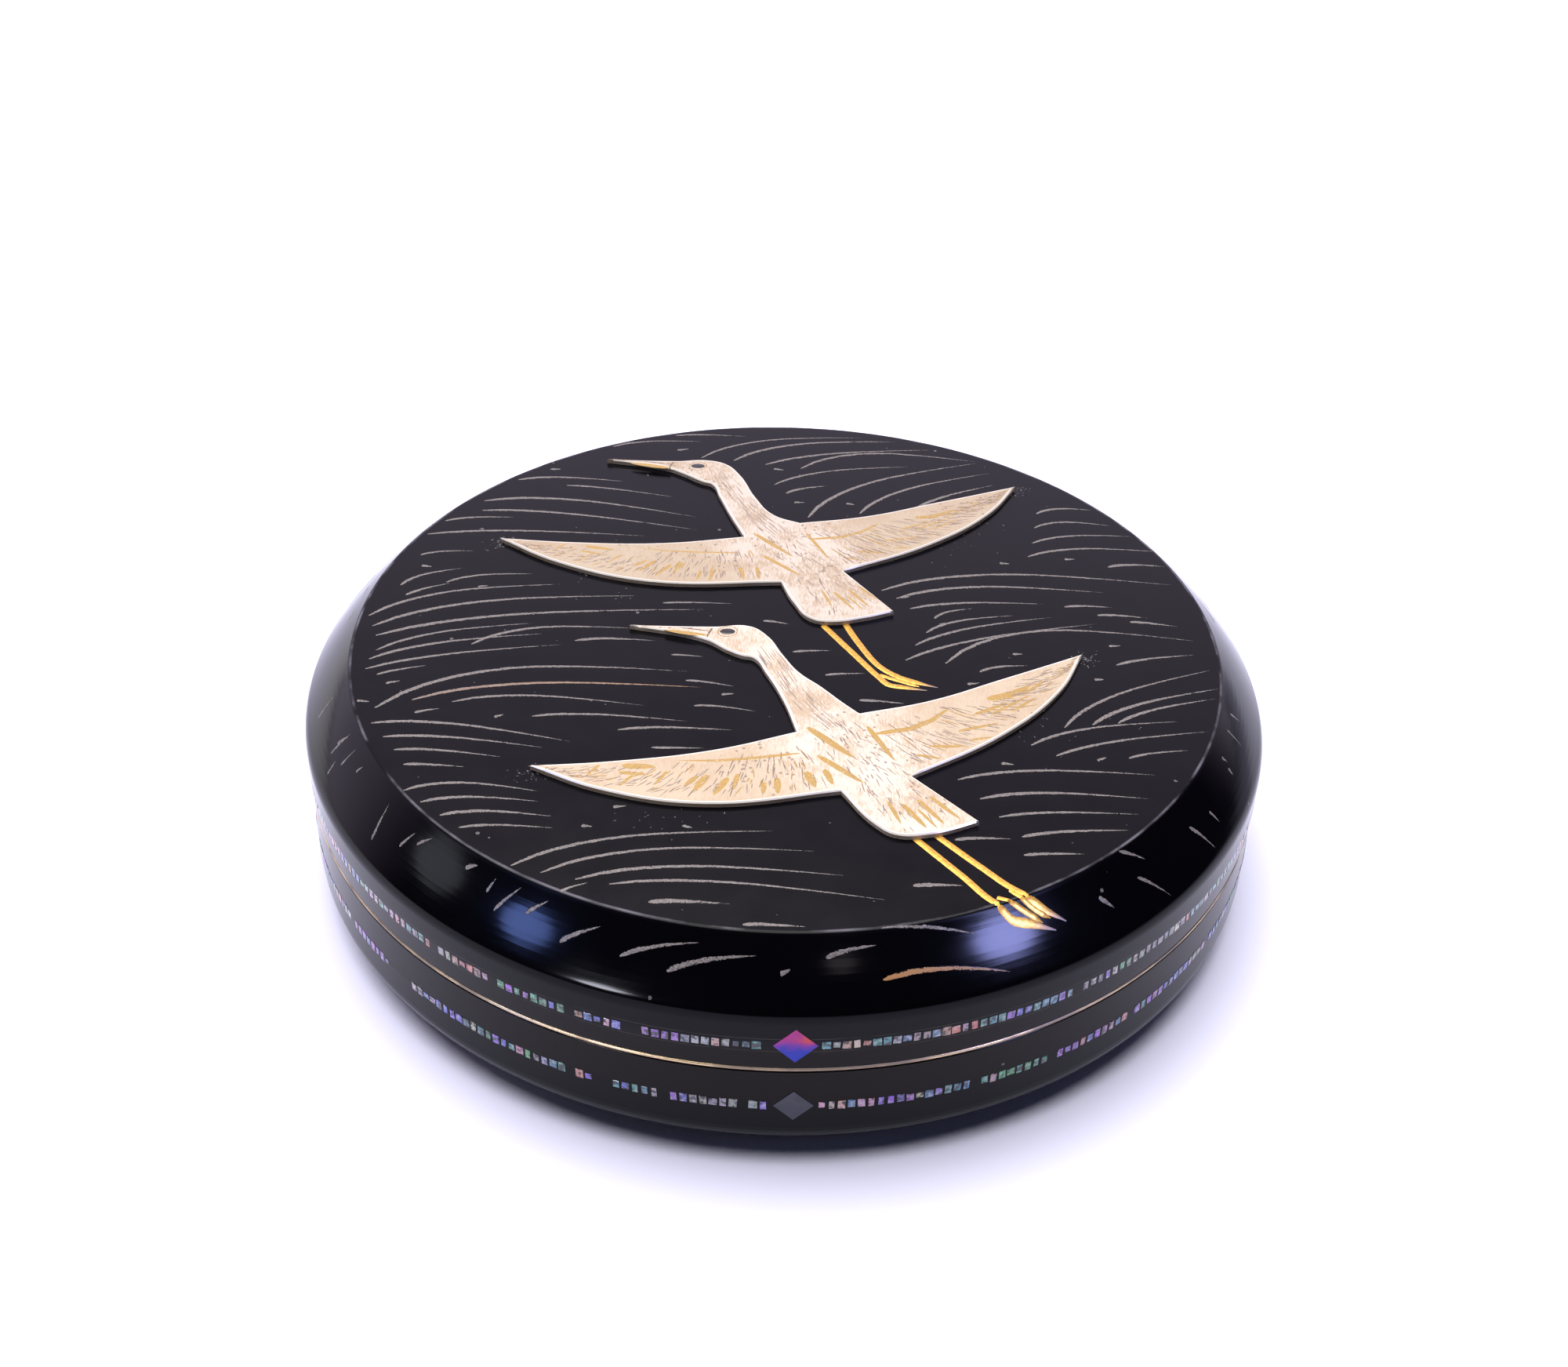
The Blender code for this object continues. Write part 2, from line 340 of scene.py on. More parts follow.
def make_powder():
    """Powder lies thick along the middle of a stroke and thins out to its ragged sides."""
    given_names = {"Grain": 8000.0, "Cover": 0.5, "Side": 0.0}
    group, given, out = new_group("powder", given_names, ["Mask", "Shade"])
    grain = noise(group, place(group), given.outputs["Grain"], 2.0, 0.7)
    streak = noise(group, stretched(group, place(group), (0.30, 1.0, 1.0)), 5200.0, 1.0)
    mixed = plus(group, times(group, grain, 0.6), times(group, streak, 0.4))
    edge = times(group, calc(group, "POWER", given.outputs["Side"], 2.0), 0.30)
    bare = minus(group, plus(group, 0.74, edge), times(group, given.outputs["Cover"], 0.44))
    group.links.new(fade(group, minus(group, mixed, bare), -0.04, 0.04), out.inputs["Mask"])
    group.links.new(grain, out.inputs["Shade"])
    return group


TURNING_MARKS = make_turning_marks()
DUST = make_dust()
POWDER = make_powder()
print("groups:", [group.name for group in bpy.data.node_groups])

# %% [markdown]
# ## Black lacquer
# The lacquer has hardly any colour of its own: what the eye sees is its gloss. The flat top is rubbed to
# a satin, the bevel and the wall are polished bright. Between the shell rows the black is warmer, above
# and below bluer. The ridge of the lid is painted a thin paler line, partly wear and partly a painted
# highlight, and fine lines frame the upper row.

# %% Lacquer finish
SATIN_ROUGHNESS = 0.21
GLOSS_ROUGHNESS = 0.12
WALL_ROUGHNESS = 0.14
LACQUER_IOR = 1.2
DEEP_BLACK = (0.0010, 0.0009, 0.0017)
WARM_BLACK = (0.0050, 0.0032, 0.0022)
RIDGE_WEAR_AND_HIGHLIGHT = (0.105, 0.100, 0.125)
ROW_LINE = (0.030, 0.026, 0.022)
ROW_LINE_OFFSET = 0.62 * MM
SPECK_COLOUR = (0.10, 0.09, 0.09)


def make_lacquer():
    material, tree, shader = new_material("black_lacquer", SATIN_ROUGHNESS, IOR=LACQUER_IOR)
    marks = use_group(tree, TURNING_MARKS)
    radius = marks["Radius"]
    height = split(tree, place(tree))[2]

    top = fade(tree, height, TOP_Z - 0.30 * MM, TOP_Z - 0.06 * MM)
    wall = fade(tree, height, TOP_Z - BEVEL_DROP - 0.6 * MM, TOP_Z - BEVEL_DROP - 1.8 * MM)
    worn = noise(tree, place(tree), 320.0, 4.0)
    gloss = plus(tree, GLOSS_ROUGHNESS, times(tree, wall, WALL_ROUGHNESS - GLOSS_ROUGHNESS))
    satin = times(tree, top, SATIN_ROUGHNESS - GLOSS_ROUGHNESS)
    rubbed = times(tree, minus(tree, worn, 0.5), 0.10)
    feed(shader, "Roughness", plus(tree, plus(tree, gloss, satin), rubbed))

    below_row = fade(tree, height, BASE_ROW_Z - 0.2 * MM, BASE_ROW_Z + 0.5 * MM)
    above_row = fade(tree, height, LID_ROW_Z + 0.2 * MM, LID_ROW_Z - 0.4 * MM)
    colour = blend_colours(tree, times(tree, below_row, above_row), DEEP_BLACK, WARM_BLACK)
    for line_z in (LID_ROW_Z + ROW_LINE_OFFSET, LID_ROW_Z - ROW_LINE_OFFSET):
        off = calc(tree, "ABSOLUTE", minus(tree, height, line_z))
        line = times(tree, fade(tree, off, 0.07 * MM, 0.02 * MM), fade(tree, worn, 0.35, 0.6))
        colour = blend_colours(tree, line, colour, ROW_LINE)

    # The ridge is painted a paler line: partly wear, partly a painted highlight on the rounded edge.
    ridge_off = calc(tree, "ABSOLUTE", minus(tree, radius, RIDGE_RADIUS - 0.10 * MM))
    ridge = times(tree, fade(tree, ridge_off, 0.16 * MM, 0.02 * MM), fade(tree, worn, 0.38, 0.70))
    ridge = times(tree, ridge, fade(tree, height, TOP_Z - 0.5 * MM, TOP_Z - 0.2 * MM))
    colour = blend_colours(tree, ridge, colour, RIDGE_WEAR_AND_HIGHLIGHT)
    dust = use_group(tree, DUST, Cells=700.0, Size=0.11, Amount=0.36)["Mask"]
    colour = blend_colours(tree, dust, colour, SPECK_COLOUR)
    feed_surface(shader, colour, marks["Height"], 0.0022 * MM, 0.6)
    return material


LACQUER = make_lacquer()
print("lacquer ready")

# %% [markdown]
# ## Lid and base on the lathe
# Wood for such a box is turned on a lathe. In Blender a turned shape can be a profile with Spin or
# Screw, or, as here, a filled circle whose rim is pulled on ring by ring: extrude, then resize about the
# axis. That keeps one clean ring of vertices per step, with no seam to weld. Round corners are arcs of
# the profile, and long flat stretches get a ring close to each end, so that smooth shading keeps them
# flat.

# %% Profile tools
TURN_STEPS = 288
SUPPORT = 0.06 * MM


def fillet(before, corner, after, radius, steps):
    """Points of the arc that rounds one corner of a profile."""
    to_before = (Vector(before) - Vector(corner)).normalized()
    to_after = (Vector(after) - Vector(corner)).normalized()
    half_angle = to_before.angle(to_after) / 2
    bisector = (to_before + to_after).normalized()
    centre = Vector(corner) + bisector * (radius / math.sin(half_angle))
    start = Vector(corner) + to_before * (radius / math.tan(half_angle)) - centre
    turn = math.pi - 2 * half_angle
    if to_before.x * to_after.y < to_before.y * to_after.x:
        turn = -turn
    return [tuple(centre + Matrix.Rotation(-turn * step / steps, 2) @ start) for step in range(steps + 1)]


def rounded_profile(corners, steps=8):
    """A profile from corners of radius, height and rounding. The first and the last corner stay sharp."""
    points = [corners[0][:2]]
    for before, corner, after in zip(corners, corners[1:], corners[2:]):
        points += fillet(before[:2], corner[:2], after[:2], corner[2], steps) if corner[2] else [corner[:2]]
    points.append(corners[-1][:2])
    return points


def supported(points):
    """Adds a ring close to each end of every long straight stretch."""
    held = [points[0]]
    for start, end in zip(points, points[1:]):
        run = Vector(end) - Vector(start)
        if run.length > 6 * SUPPORT:
            near = run.normalized() * SUPPORT
            held += [tuple(Vector(start) + near), tuple(Vector(end) - near)]
        held.append(end)
    return held


def turn_on_lathe(name, profile, filled=True):
    """Pulls the rim of a circle through all the points of a profile, and fills the last ring."""
    deselect_all()
    radius, height = profile[0]
    bpy.ops.mesh.primitive_circle_add(vertices=TURN_STEPS, radius=radius, location=(0.0, 0.0, height),
                                      fill_type="NGON" if filled else "NOTHING")
    piece = bpy.context.object
    piece.name = name
    edit(piece)
    bpy.ops.mesh.select_all(action="SELECT")
    for (radius, height), (next_radius, next_height) in zip(profile, profile[1:]):
        bpy.ops.mesh.extrude_edges_move(TRANSFORM_OT_translate={"value": (0.0, 0.0, next_height - height)})
        ratio = next_radius / radius
        bpy.ops.transform.resize(value=(ratio, ratio, 1.0), center_override=(0.0, 0.0, next_height))
    if filled:
        bpy.ops.mesh.edge_face_add()
    bpy.ops.mesh.select_all(action="SELECT")
    bpy.ops.mesh.remove_doubles(threshold=0.001 * MM)
    bpy.ops.mesh.normals_make_consistent(inside=False)
    leave_edit()
    return piece


print("lathe ready")

# %% [markdown]
# The lid's outer side runs from the flat top over a crisp ridge, down the bevel, round a soft shoulder
# and down the wall to the mouth. The bevel swells a little, so that lights lie on it as soft ovals and
# not as bars. The inner side follows at an even wall, because the box is hollow.

# %% Turn the lid
BEVEL_SWELL = 0.24 * MM
BEVEL_SWELL_RADIUS = 27.0 * MM
# the flat discs end this far inside the first corner
TOP_DISC_GAP = 1.2 * MM
ROOF_DISC_GAP = 2.0 * MM


def lid_corners():
    roof_z = TOP_Z - LID_TOP_THICKNESS
    slope = Vector((BEVEL_RUN, -BEVEL_DROP)).normalized()
    inside = Vector((RIDGE_RADIUS, TOP_Z)) + LID_WALL * Vector((slope.y, -slope.x))
    middle = Vector((RIDGE_RADIUS + BEVEL_RUN / 2, TOP_Z - BEVEL_DROP / 2))
    middle += BEVEL_SWELL * Vector((-slope.y, slope.x))
    inner = MOUTH_RADIUS - LID_WALL
    roof_radius = inside.x + (roof_z - inside.y) * slope.x / slope.y
    inner_shoulder_z = inside.y + (inner - inside.x) * slope.y / slope.x
    return [
        (RIDGE_RADIUS - TOP_DISC_GAP, TOP_Z, 0.0),
        (RIDGE_RADIUS, TOP_Z, RIDGE_ROUND),
        (middle.x, middle.y, BEVEL_SWELL_RADIUS),
        (WALL_RADIUS, TOP_Z - BEVEL_DROP, SHOULDER_ROUND),
        (WALL_RADIUS, LID_EDGE_Z + LID_LEAN_HEIGHT, 0.0),
        (MOUTH_RADIUS, LID_EDGE_Z, EDGE_ROUND),
        (inner, LID_EDGE_Z, 0.0),
        (inner, inner_shoulder_z, SHOULDER_ROUND),
        (roof_radius, roof_z, SHOULDER_ROUND),
        (roof_radius - ROOF_DISC_GAP, roof_z, 0.0),
    ]


lid_profile = rounded_profile(lid_corners())
lid = turn_on_lathe("lid_body", supported(lid_profile))
settle(lid, LACQUER)
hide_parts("lid")

# %% [markdown]
# The base has the lip that the lid fits over, a hollow with a rounded floor, and a belly that curves in
# to a flat foot ring. The belly is a quarter of a full oval. The photograph doesn't show the underside,
# so it stays plain.

# %% Turn the base
FOOT_DISC_GAP = 2.0 * MM
FLOOR_DISC_GAP = 4.0 * MM


def belly_curve(steps=20):
    points = []
    for step in range(1, steps + 1):
        angle = math.pi / 2 * step / steps
        across = max(math.cos(angle), 0.0) ** (2 / BELLY_FULLNESS)
        down = math.sin(angle) ** (2 / BELLY_FULLNESS)
        points.append((FOOT_RADIUS + (WALL_RADIUS - FOOT_RADIUS) * across, BELLY_HEIGHT * (1 - down), 0.0))
    return points


def base_corners():
    foot_inner = FOOT_RADIUS - FOOT_WIDTH
    lip_outer = MOUTH_RADIUS - LID_WALL - LIP_CLEARANCE
    inner = lip_outer - LIP_WALL
    return [
        (foot_inner - FOOT_DISC_GAP, FOOT_RECESS, 0.0),
        (foot_inner - FOOT_RECESS, FOOT_RECESS, 0.0),
        (foot_inner, 0.0, 0.0),
        *reversed(belly_curve()),
        (WALL_RADIUS, BELLY_HEIGHT, 0.0),
        (WALL_RADIUS, BASE_HEIGHT - BASE_LEAN_HEIGHT, 0.0),
        (MOUTH_RADIUS, BASE_HEIGHT, EDGE_ROUND),
        (lip_outer, BASE_HEIGHT, 0.0),
        (lip_outer, LIP_TOP_Z, 2 * EDGE_ROUND),
        (inner, LIP_TOP_Z, 0.0),
        (inner, FLOOR_Z, INNER_ROUND),
        (inner - FLOOR_DISC_GAP, FLOOR_Z, 0.0),
    ]


base = turn_on_lathe("base_body", supported(rounded_profile(base_corners())))
settle(base, LACQUER)
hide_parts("base")

# %% [markdown]
# ## Metal ring
# A thin ring edges the mouth of the lid. It is brassy where hands have rubbed it and greyer elsewhere,
# with fine scratches along it. Its section is a small rounded oblong, closed on itself.

# %% Ring finish and shape
RING_BRIGHT = (0.52, 0.39, 0.23)
RING_DULL = (0.22, 0.17, 0.12)


def make_ring_metal():
    material, tree, shader = new_material("rim_metal", 0.32, metallic=1.0)
    marks = use_group(tree, TURNING_MARKS, Fineness=16000.0, Run=40.0)
    patches = fade(tree, noise(tree, place(tree), 260.0, 4.0), 0.36, 0.62)
    colour = blend_colours(tree, patches, RING_DULL, RING_BRIGHT)
    feed_surface(shader, colour, marks["Height"], 0.003 * MM, 0.7)
    feed(shader, "Roughness", minus(tree, 0.46, times(tree, patches, 0.2)))
    return material


def ring_section():
    outer, inner = ring_high.x - SHELL_PROUD, MOUTH_RADIUS - LID_WALL
    loop = [(inner, ring_high.z), (outer, ring_high.z), (outer, ring_low.z), (inner, ring_low.z)]
    upper = fillet(loop[0], loop[1], loop[2], EDGE_ROUND, 4)
    lower = fillet(loop[1], loop[2], loop[3], EDGE_ROUND, 4)
    return [loop[0], *upper, *lower, loop[3], loop[0]]


ring = turn_on_lathe("mouth_ring", ring_section(), filled=False)
settle(ring, make_ring_metal())
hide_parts("mouth_rim")

# %% [markdown]
# ## Herons cut from silver sheet
# Each heron is a flat plate sawn from thin silver. Its outline is a closed curve with sharp corners at
# the wing tips and soft ones elsewhere, in the bird's own frame: ahead of the shoulders and to their
# right. The curve is made a ring of points and filled, and the face is extruded three times: up the
# side, up a narrow chamfer, and once level for the border, which is painted bright as a highlight. Each
# new ring is drawn in a little, less where the bird is narrow: a plain inset would cross itself in the
# beak.

# %% Heron outline
HERON_LENGTH = 34.0 * MM
HERON_TURN = math.radians(28.6)
CHAMFER = 0.10 * MM
BORDER = 0.21 * MM
# Neck, head and tail are sawn by eye, so each bird has its own points, as shares of the length. They
# were read off the photograph in the same way as the strokes.
HERONS = {
    "rear_heron": {
        "centre": (0.5 * MM, 12.2 * MM), "wing": 0.640, "sweeps": (26.6, -9.8), "face_shift": (-0.9, -0.4),
        # the rear bird's tone paints all its silver darker than the front bird's: painted shade
        "tone": 0.86,
        "beak_tip": (0.660, -0.207),
        "left_neck": ((0.535, -0.076), (0.484, -0.050), (0.432, -0.028), (0.408, -0.012), (0.340, -0.024),
                      (0.240, -0.045)),
        "tail": ((-0.200, -0.103), (-0.284, -0.101), (-0.318, -0.064), (-0.342, 0.020)),
        "tail_tip": (-0.352, 0.098),
        "right_neck": ((0.185, 0.060), (0.289, 0.060), (0.414, 0.080), (0.484, 0.074), (0.528, 0.036),
                       (0.562, -0.040)),
    },
    "front_heron": {
        "centre": (4.5 * MM, -16.4 * MM), "wing": 0.617, "sweeps": (15.9, -4.6), "face_shift": (0.0, 0.0),
        "tone": 1.0,
        "beak_tip": (0.694, -0.212),
        "left_neck": ((0.552, -0.075), (0.489, -0.050), (0.452, -0.029), (0.432, -0.010), (0.364, -0.013),
                      (0.240, -0.033)),
        "tail": ((-0.240, -0.078), (-0.290, -0.056), (-0.322, 0.010), (-0.332, 0.060)),
        "tail_tip": (-0.337, 0.126),
        "right_neck": ((0.176, 0.088), (0.253, 0.075), (0.329, 0.058), (0.411, 0.060), (0.496, 0.066),
                       (0.552, 0.048), (0.592, -0.032)),
    },
}
LEFT_FRONT, LEFT_BACK = (0.128, -0.064), (-0.105, -0.085)
RIGHT_FRONT, RIGHT_BACK = (0.120, 0.100), (-0.135, 0.082)


def wing_tips(heron):
    left, right = (math.radians(sweep) for sweep in heron["sweeps"])
    reach = heron["wing"]
    return ((0.13 + reach * math.sin(left), -0.06 - reach * math.cos(left)),
            (0.12 + reach * math.sin(right), 0.09 + reach * math.cos(right)))


def along(start, end, share, bow):
    """A point between two others, moved sideways by a share of their distance."""
    run = Vector(end) - Vector(start)
    spot = Vector(start) + run * share + Vector((-run.y, run.x)) * bow
    return (spot.x, spot.y)


def heron_outline(heron):
    """Points of the outline and whether each is a sharp corner, from the beak round by the left wing."""
    left_tip, right_tip = wing_tips(heron)
    soft, sharp = False, True
    left_wing = [
        (LEFT_FRONT, sharp), (along(LEFT_FRONT, left_tip, 0.33, -0.045), soft),
        (along(LEFT_FRONT, left_tip, 0.70, -0.035), soft), (left_tip, sharp),
        (along(LEFT_BACK, left_tip, 0.76, -0.090), soft), (along(LEFT_BACK, left_tip, 0.42, -0.118), soft),
        (LEFT_BACK, sharp),
    ]
    right_wing = [
        (RIGHT_BACK, sharp), (along(RIGHT_BACK, right_tip, 0.40, 0.085), soft),
        (along(RIGHT_BACK, right_tip, 0.75, 0.078), soft), (right_tip, sharp),
        (along(RIGHT_FRONT, right_tip, 0.62, 0.020), soft),
        (along(RIGHT_FRONT, right_tip, 0.28, 0.034), soft), (RIGHT_FRONT, sharp),
    ]
    left_neck, tail, right_neck = ([(spot, soft) for spot in heron[part]]
                                   for part in ("left_neck", "tail", "right_neck"))
    beak_tip, tail_tip = (heron["beak_tip"], sharp), (heron["tail_tip"], sharp)
    return [beak_tip, *left_neck, *left_wing, *tail, tail_tip, *right_wing, *right_neck]


print("outline of %d points" % len(heron_outline(HERONS["rear_heron"])))

# %% [markdown]
# The silver is matt and warm, like champagne, because it is cut all over with fine strokes. Under them
# the tone drifts between cream and beige. The border is glossier and painted almost white, as a painted
# highlight along the edge. The mesh says which faces are border, in an attribute, and the material reads
# it.

# %% Engraved silver finish
SILVER_BODY = (0.55, 0.468, 0.400)
SILVER_CREAM = (0.425, 0.338, 0.240)
SILVER_BEIGE = (0.385, 0.285, 0.190)
SILVER_BORDER_HIGHLIGHT = (0.70, 0.64, 0.58)
SILVER_STAIN = (0.14, 0.10, 0.07)


def make_silver(name, heron):
    """The wings are warmer than the body: the further right or left of the bird's axis, the more golden."""
    material, tree, shader = new_material(name + "_silver", 0.42, metallic=0.25)
    spot = place(tree)
    across, inwards, _ = split(tree, spot)
    x, y = heron["centre"]
    rightwards = times(tree, minus(tree, across, x), math.cos(HERON_TURN))
    offset = plus(tree, rightwards, times(tree, minus(tree, inwards, y), math.sin(HERON_TURN)))
    drift = noise(tree, spot, 260.0, 4.0, 0.6)
    wing = fade(tree, calc(tree, "ABSOLUTE", minus(tree, offset, 0.6 * MM)), 3.0 * MM, 8.0 * MM)
    border = attribute(tree, "border")
    hatch = noise(tree, stretched(tree, spot, (1.0, 0.22, 1.0), -HERON_TURN), 6500.0, 3.0, 0.65)
    mottle = plus(tree, times(tree, drift, 0.55), times(tree, hatch, 0.45))
    # The tone scales every colour, so the rear bird is painted darker, as painted shade.
    body, cream, beige, rim = (tuple(channel * heron["tone"] for channel in colour)
                               for colour in (SILVER_BODY, SILVER_CREAM, SILVER_BEIGE, SILVER_BORDER_HIGHLIGHT))
    warm = blend_colours(tree, wing, body, cream)
    colour = blend_colours(tree, fade(tree, mottle, 0.38, 0.58), beige, warm)
    stains = use_group(tree, DUST, Cells=1500.0, Size=0.20, Amount=0.47)["Mask"]
    colour = blend_colours(tree, times(tree, stains, 0.7), colour, SILVER_STAIN)
    # The border is painted near white: a painted highlight along the plate's edge.
    colour = blend_colours(tree, border, colour, rim)
    relief = times(tree, hatch, minus(tree, 1.0, border))
    feed_surface(shader, colour, relief, 0.012 * MM, 0.7)
    feed(shader, "Roughness", minus(tree, 0.50, times(tree, border, 0.22)))
    return material


print("silver ready")

# %% [markdown]
# Now both plates are sawn out and their rings drawn in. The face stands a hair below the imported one, so
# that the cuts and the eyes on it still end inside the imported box.

# %% Saw out the herons
PLATE_DROP = 0.06 * MM
ENGRAVING_MARGIN = 0.30 * MM


def heron_frame(heron):
    """The matrix that takes the bird's frame (right, ahead, up) to the lid."""
    x, y = heron["centre"]
    return Matrix.Translation((x, y, 0.0)) @ Matrix.Rotation(HERON_TURN, 4, "Z")


def draw_outline(name, heron):
    """The outline as a closed ring of points in order, from a curve."""
    deselect_all()
    bpy.ops.curve.primitive_bezier_circle_add(location=(0.0, 0.0, 0.0))
    guide = bpy.context.object
    guide.name = name
    guide.data.dimensions = "2D"
    guide.data.fill_mode = "NONE"
    guide.data.resolution_u = 10
    guide.data.splines.clear()
    outline = heron_outline(heron)
    spline = guide.data.splines.new("BEZIER")
    spline.bezier_points.add(len(outline) - 1)
    spline.use_cyclic_u = True
    for point, ((ahead, right), sharp) in zip(spline.bezier_points, outline):
        point.co = (right * HERON_LENGTH, ahead * HERON_LENGTH, 0.0)
        point.handle_left_type = point.handle_right_type = "VECTOR" if sharp else "AUTO"
    select_only(guide)
    bpy.ops.object.convert(target="MESH")
    return bpy.context.object


def shrink(ring, distance):
    """Moves each point of a closed ring inwards, less where the shape is narrow."""
    tangent = np.roll(ring, -1, axis=0) - np.roll(ring, 1, axis=0)
    tangent /= np.linalg.norm(tangent, axis=1)[:, None]
    inward = np.column_stack([-tangent[:, 1], tangent[:, 0]])
    area = np.sum(ring[:, 0] * np.roll(ring[:, 1], -1) - np.roll(ring[:, 0], -1) * ring[:, 1])
    inward *= np.sign(area)
    gaps = ring[None, :, :] - ring[:, None, :]
    apart = np.linalg.norm(gaps, axis=2) + 1e-12
    ahead = np.einsum("ijk,ik->ij", gaps, inward) > 0.7 * apart
    width = np.where(ahead, apart, 1.0).min(axis=1)
    return ring + inward * np.minimum(distance, 0.3 * width)[:, None]


def saw_heron(name, heron):
    low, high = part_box(name)
    plate = draw_outline(name + "_plate", heron)
    ring = points_of(plate)[:, :2]
    edit(plate)
    bpy.ops.mesh.select_all(action="SELECT")
    bpy.ops.mesh.edge_face_add()
    for level in range(3):
        bpy.ops.mesh.extrude_region_move(TRANSFORM_OT_translate={"value": (0.0, 0.0, 1.0 * MM)})
    leave_edit()
    inner_face = np.array([face.select for face in plate.data.polygons])

    top_z = high.z - PLATE_DROP
    rings = (ring, ring, shrink(ring, CHAMFER), shrink(ring, BORDER))
    heron["edge"] = shrink(ring, ENGRAVING_MARGIN)[:, ::-1] / MM
    heights = (low.z, top_z - CHAMFER, top_z, top_z)
    shape = points_of(plate)
    for level in range(4):
        chosen = np.flatnonzero(np.abs(shape[:, 2] - level * MM) < 0.1 * MM)
        apart = np.linalg.norm(shape[chosen, None, :2] - ring[None, :, :], axis=2)
        shape[chosen, :2] = rings[level][apart.argmin(axis=1)]
        shape[chosen, 2] = heights[level]
    move_points(plate, shape)
    plate.matrix_world = heron_frame(heron)
    face_outwards(plate)
    upper = np.array([face.normal.z > 0.2 for face in plate.data.polygons])
    set_numbers(plate, "border", upper & ~inner_face, "FACE")
    settle(plate, make_silver(name, heron), 25.0)
    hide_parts(name)
    return top_z


PLATE_TOP_Z = max(saw_heron(name, heron) for name, heron in HERONS.items())

# %% [markdown]
# ## One mark, laid many times
# Powder strokes, engraved lines and the birds' thin legs are all slim marks with pointed ends. One is
# modelled: a triangle pulled along in a few steps, thin at both ends. Every other is a copy with its own
# mesh, whose points are laid along a curve on the lid, on the bevel or on a plate.

# %% The blank mark
BRUSH_STEPS = (
    (0.04, 0.72), (0.10, 0.96), (0.18, 1.0), (0.27, 0.97), (0.36, 0.92), (0.45, 0.85), (0.54, 0.78),
    (0.63, 0.69), (0.72, 0.60), (0.80, 0.50), (0.88, 0.38), (0.95, 0.23), (1.0, 0.05),
)
GRAVER_STEPS = ((0.12, 0.85), (0.40, 1.0), (0.70, 0.85), (0.92, 0.45), (1.0, 0.10))


def model_blank(name, steps, start):
    """A unit mark along X. Each step gives how far along it is and its share of the full width."""
    deselect_all()
    bpy.ops.mesh.primitive_circle_add(vertices=3, radius=start, fill_type="NGON",
                                      rotation=(math.pi / 2, 0.0, math.pi / 2))
    blank = bpy.context.object
    blank.name = name
    bpy.ops.object.transform_apply(location=True, rotation=True, scale=True)
    edit(blank)
    bpy.ops.mesh.select_all(action="SELECT")
    at, width = 0.0, start
    for next_at, next_width in steps:
        bpy.ops.mesh.extrude_region_move(TRANSFORM_OT_translate={"value": (next_at - at, 0.0, 0.0)})
        bpy.ops.transform.resize(value=(1.0, next_width / width, next_width / width),
                                 center_override=(next_at, 0.0, 0.0))
        at, width = next_at, next_width
    bpy.ops.mesh.select_all(action="SELECT")
    bpy.ops.mesh.normals_make_consistent(inside=False)
    leave_edit()
    return blank


brush_mark = model_blank("brush_mark", BRUSH_STEPS, 0.35)
graver_mark = model_blank("graver_mark", GRAVER_STEPS, 0.35)
WIRE_SECTIONS = 48
WIRE_STEPS = [(step / WIRE_SECTIONS, min(1.0, 0.12 + (WIRE_SECTIONS - step) / 9))
              for step in range(1, WIRE_SECTIONS + 1)]
wire_mark = model_blank("wire_mark", WIRE_STEPS, 0.85)
for blank in (brush_mark, graver_mark, wire_mark):
    print("%s has %d faces" % (blank.name, len(blank.data.polygons)))

# %% [markdown]
# To lay a mark, its length follows a smooth curve through a few points, its width goes sideways, and its
# height goes along the surface's normal. The lid's surface is its own turned profile, read as height
# over radius.

# %% Lay marks on a surface
outer_side = [point for point in lid_profile if point[1] > TOP_Z - BEVEL_DROP - 1.6 * MM]
outer_side = outer_side[:outer_side.index(max(outer_side)) + 1]
SIDE_RADII = np.array([0.0] + [radius for radius, height in outer_side])
SIDE_HEIGHTS = np.array([TOP_Z] + [height for radius, height in outer_side])
UP = np.array((0.0, 0.0, 1.0))
TRIANGLE_HALF = math.sqrt(3) / 2


def on_lid(spots):
    """Heights and normals of the lid's outer side at points of x and y."""
    radius = np.hypot(spots[:, 0], spots[:, 1])
    step = 0.05 * MM
    height = np.interp(radius, SIDE_RADII, SIDE_HEIGHTS)
    fall = (np.interp(radius + step, SIDE_RADII, SIDE_HEIGHTS)
            - np.interp(radius - step, SIDE_RADII, SIDE_HEIGHTS)) / (2 * step)
    outward = spots / np.maximum(radius, 1e-9)[:, None]
    normals = np.column_stack([-outward * fall[:, None], np.ones(len(spots))])
    return height, normals / np.linalg.norm(normals, axis=1)[:, None]


def on_plate(spots):
    return np.full(len(spots), PLATE_TOP_Z), np.tile(UP, (len(spots), 1))


def smooth_path(points, shares):
    """A curve through the points, read at shares of its length: straight, an arc or a run of soft bends."""
    points = np.array(points, float)
    if len(points) == 2:
        return points[0] + np.outer(shares, points[1] - points[0])
    runs = np.linalg.norm(np.diff(points, axis=0), axis=1)
    marks = np.concatenate([[0.0], np.cumsum(runs)]) / runs.sum()
    slopes = np.gradient(points, marks, axis=0)
    index = np.clip(np.searchsorted(marks, shares, side="right") - 1, 0, len(points) - 2)
    span = (marks[index + 1] - marks[index])[:, None]
    t = (shares[:, None] - marks[index][:, None]) / span
    start, end = points[index], points[index + 1]
    return ((2 * t**3 - 3 * t**2 + 1) * start + (t**3 - 2 * t**2 + t) * span * slopes[index]
            + (3 * t**2 - 2 * t**3) * end + (t**3 - t**2) * span * slopes[index + 1])


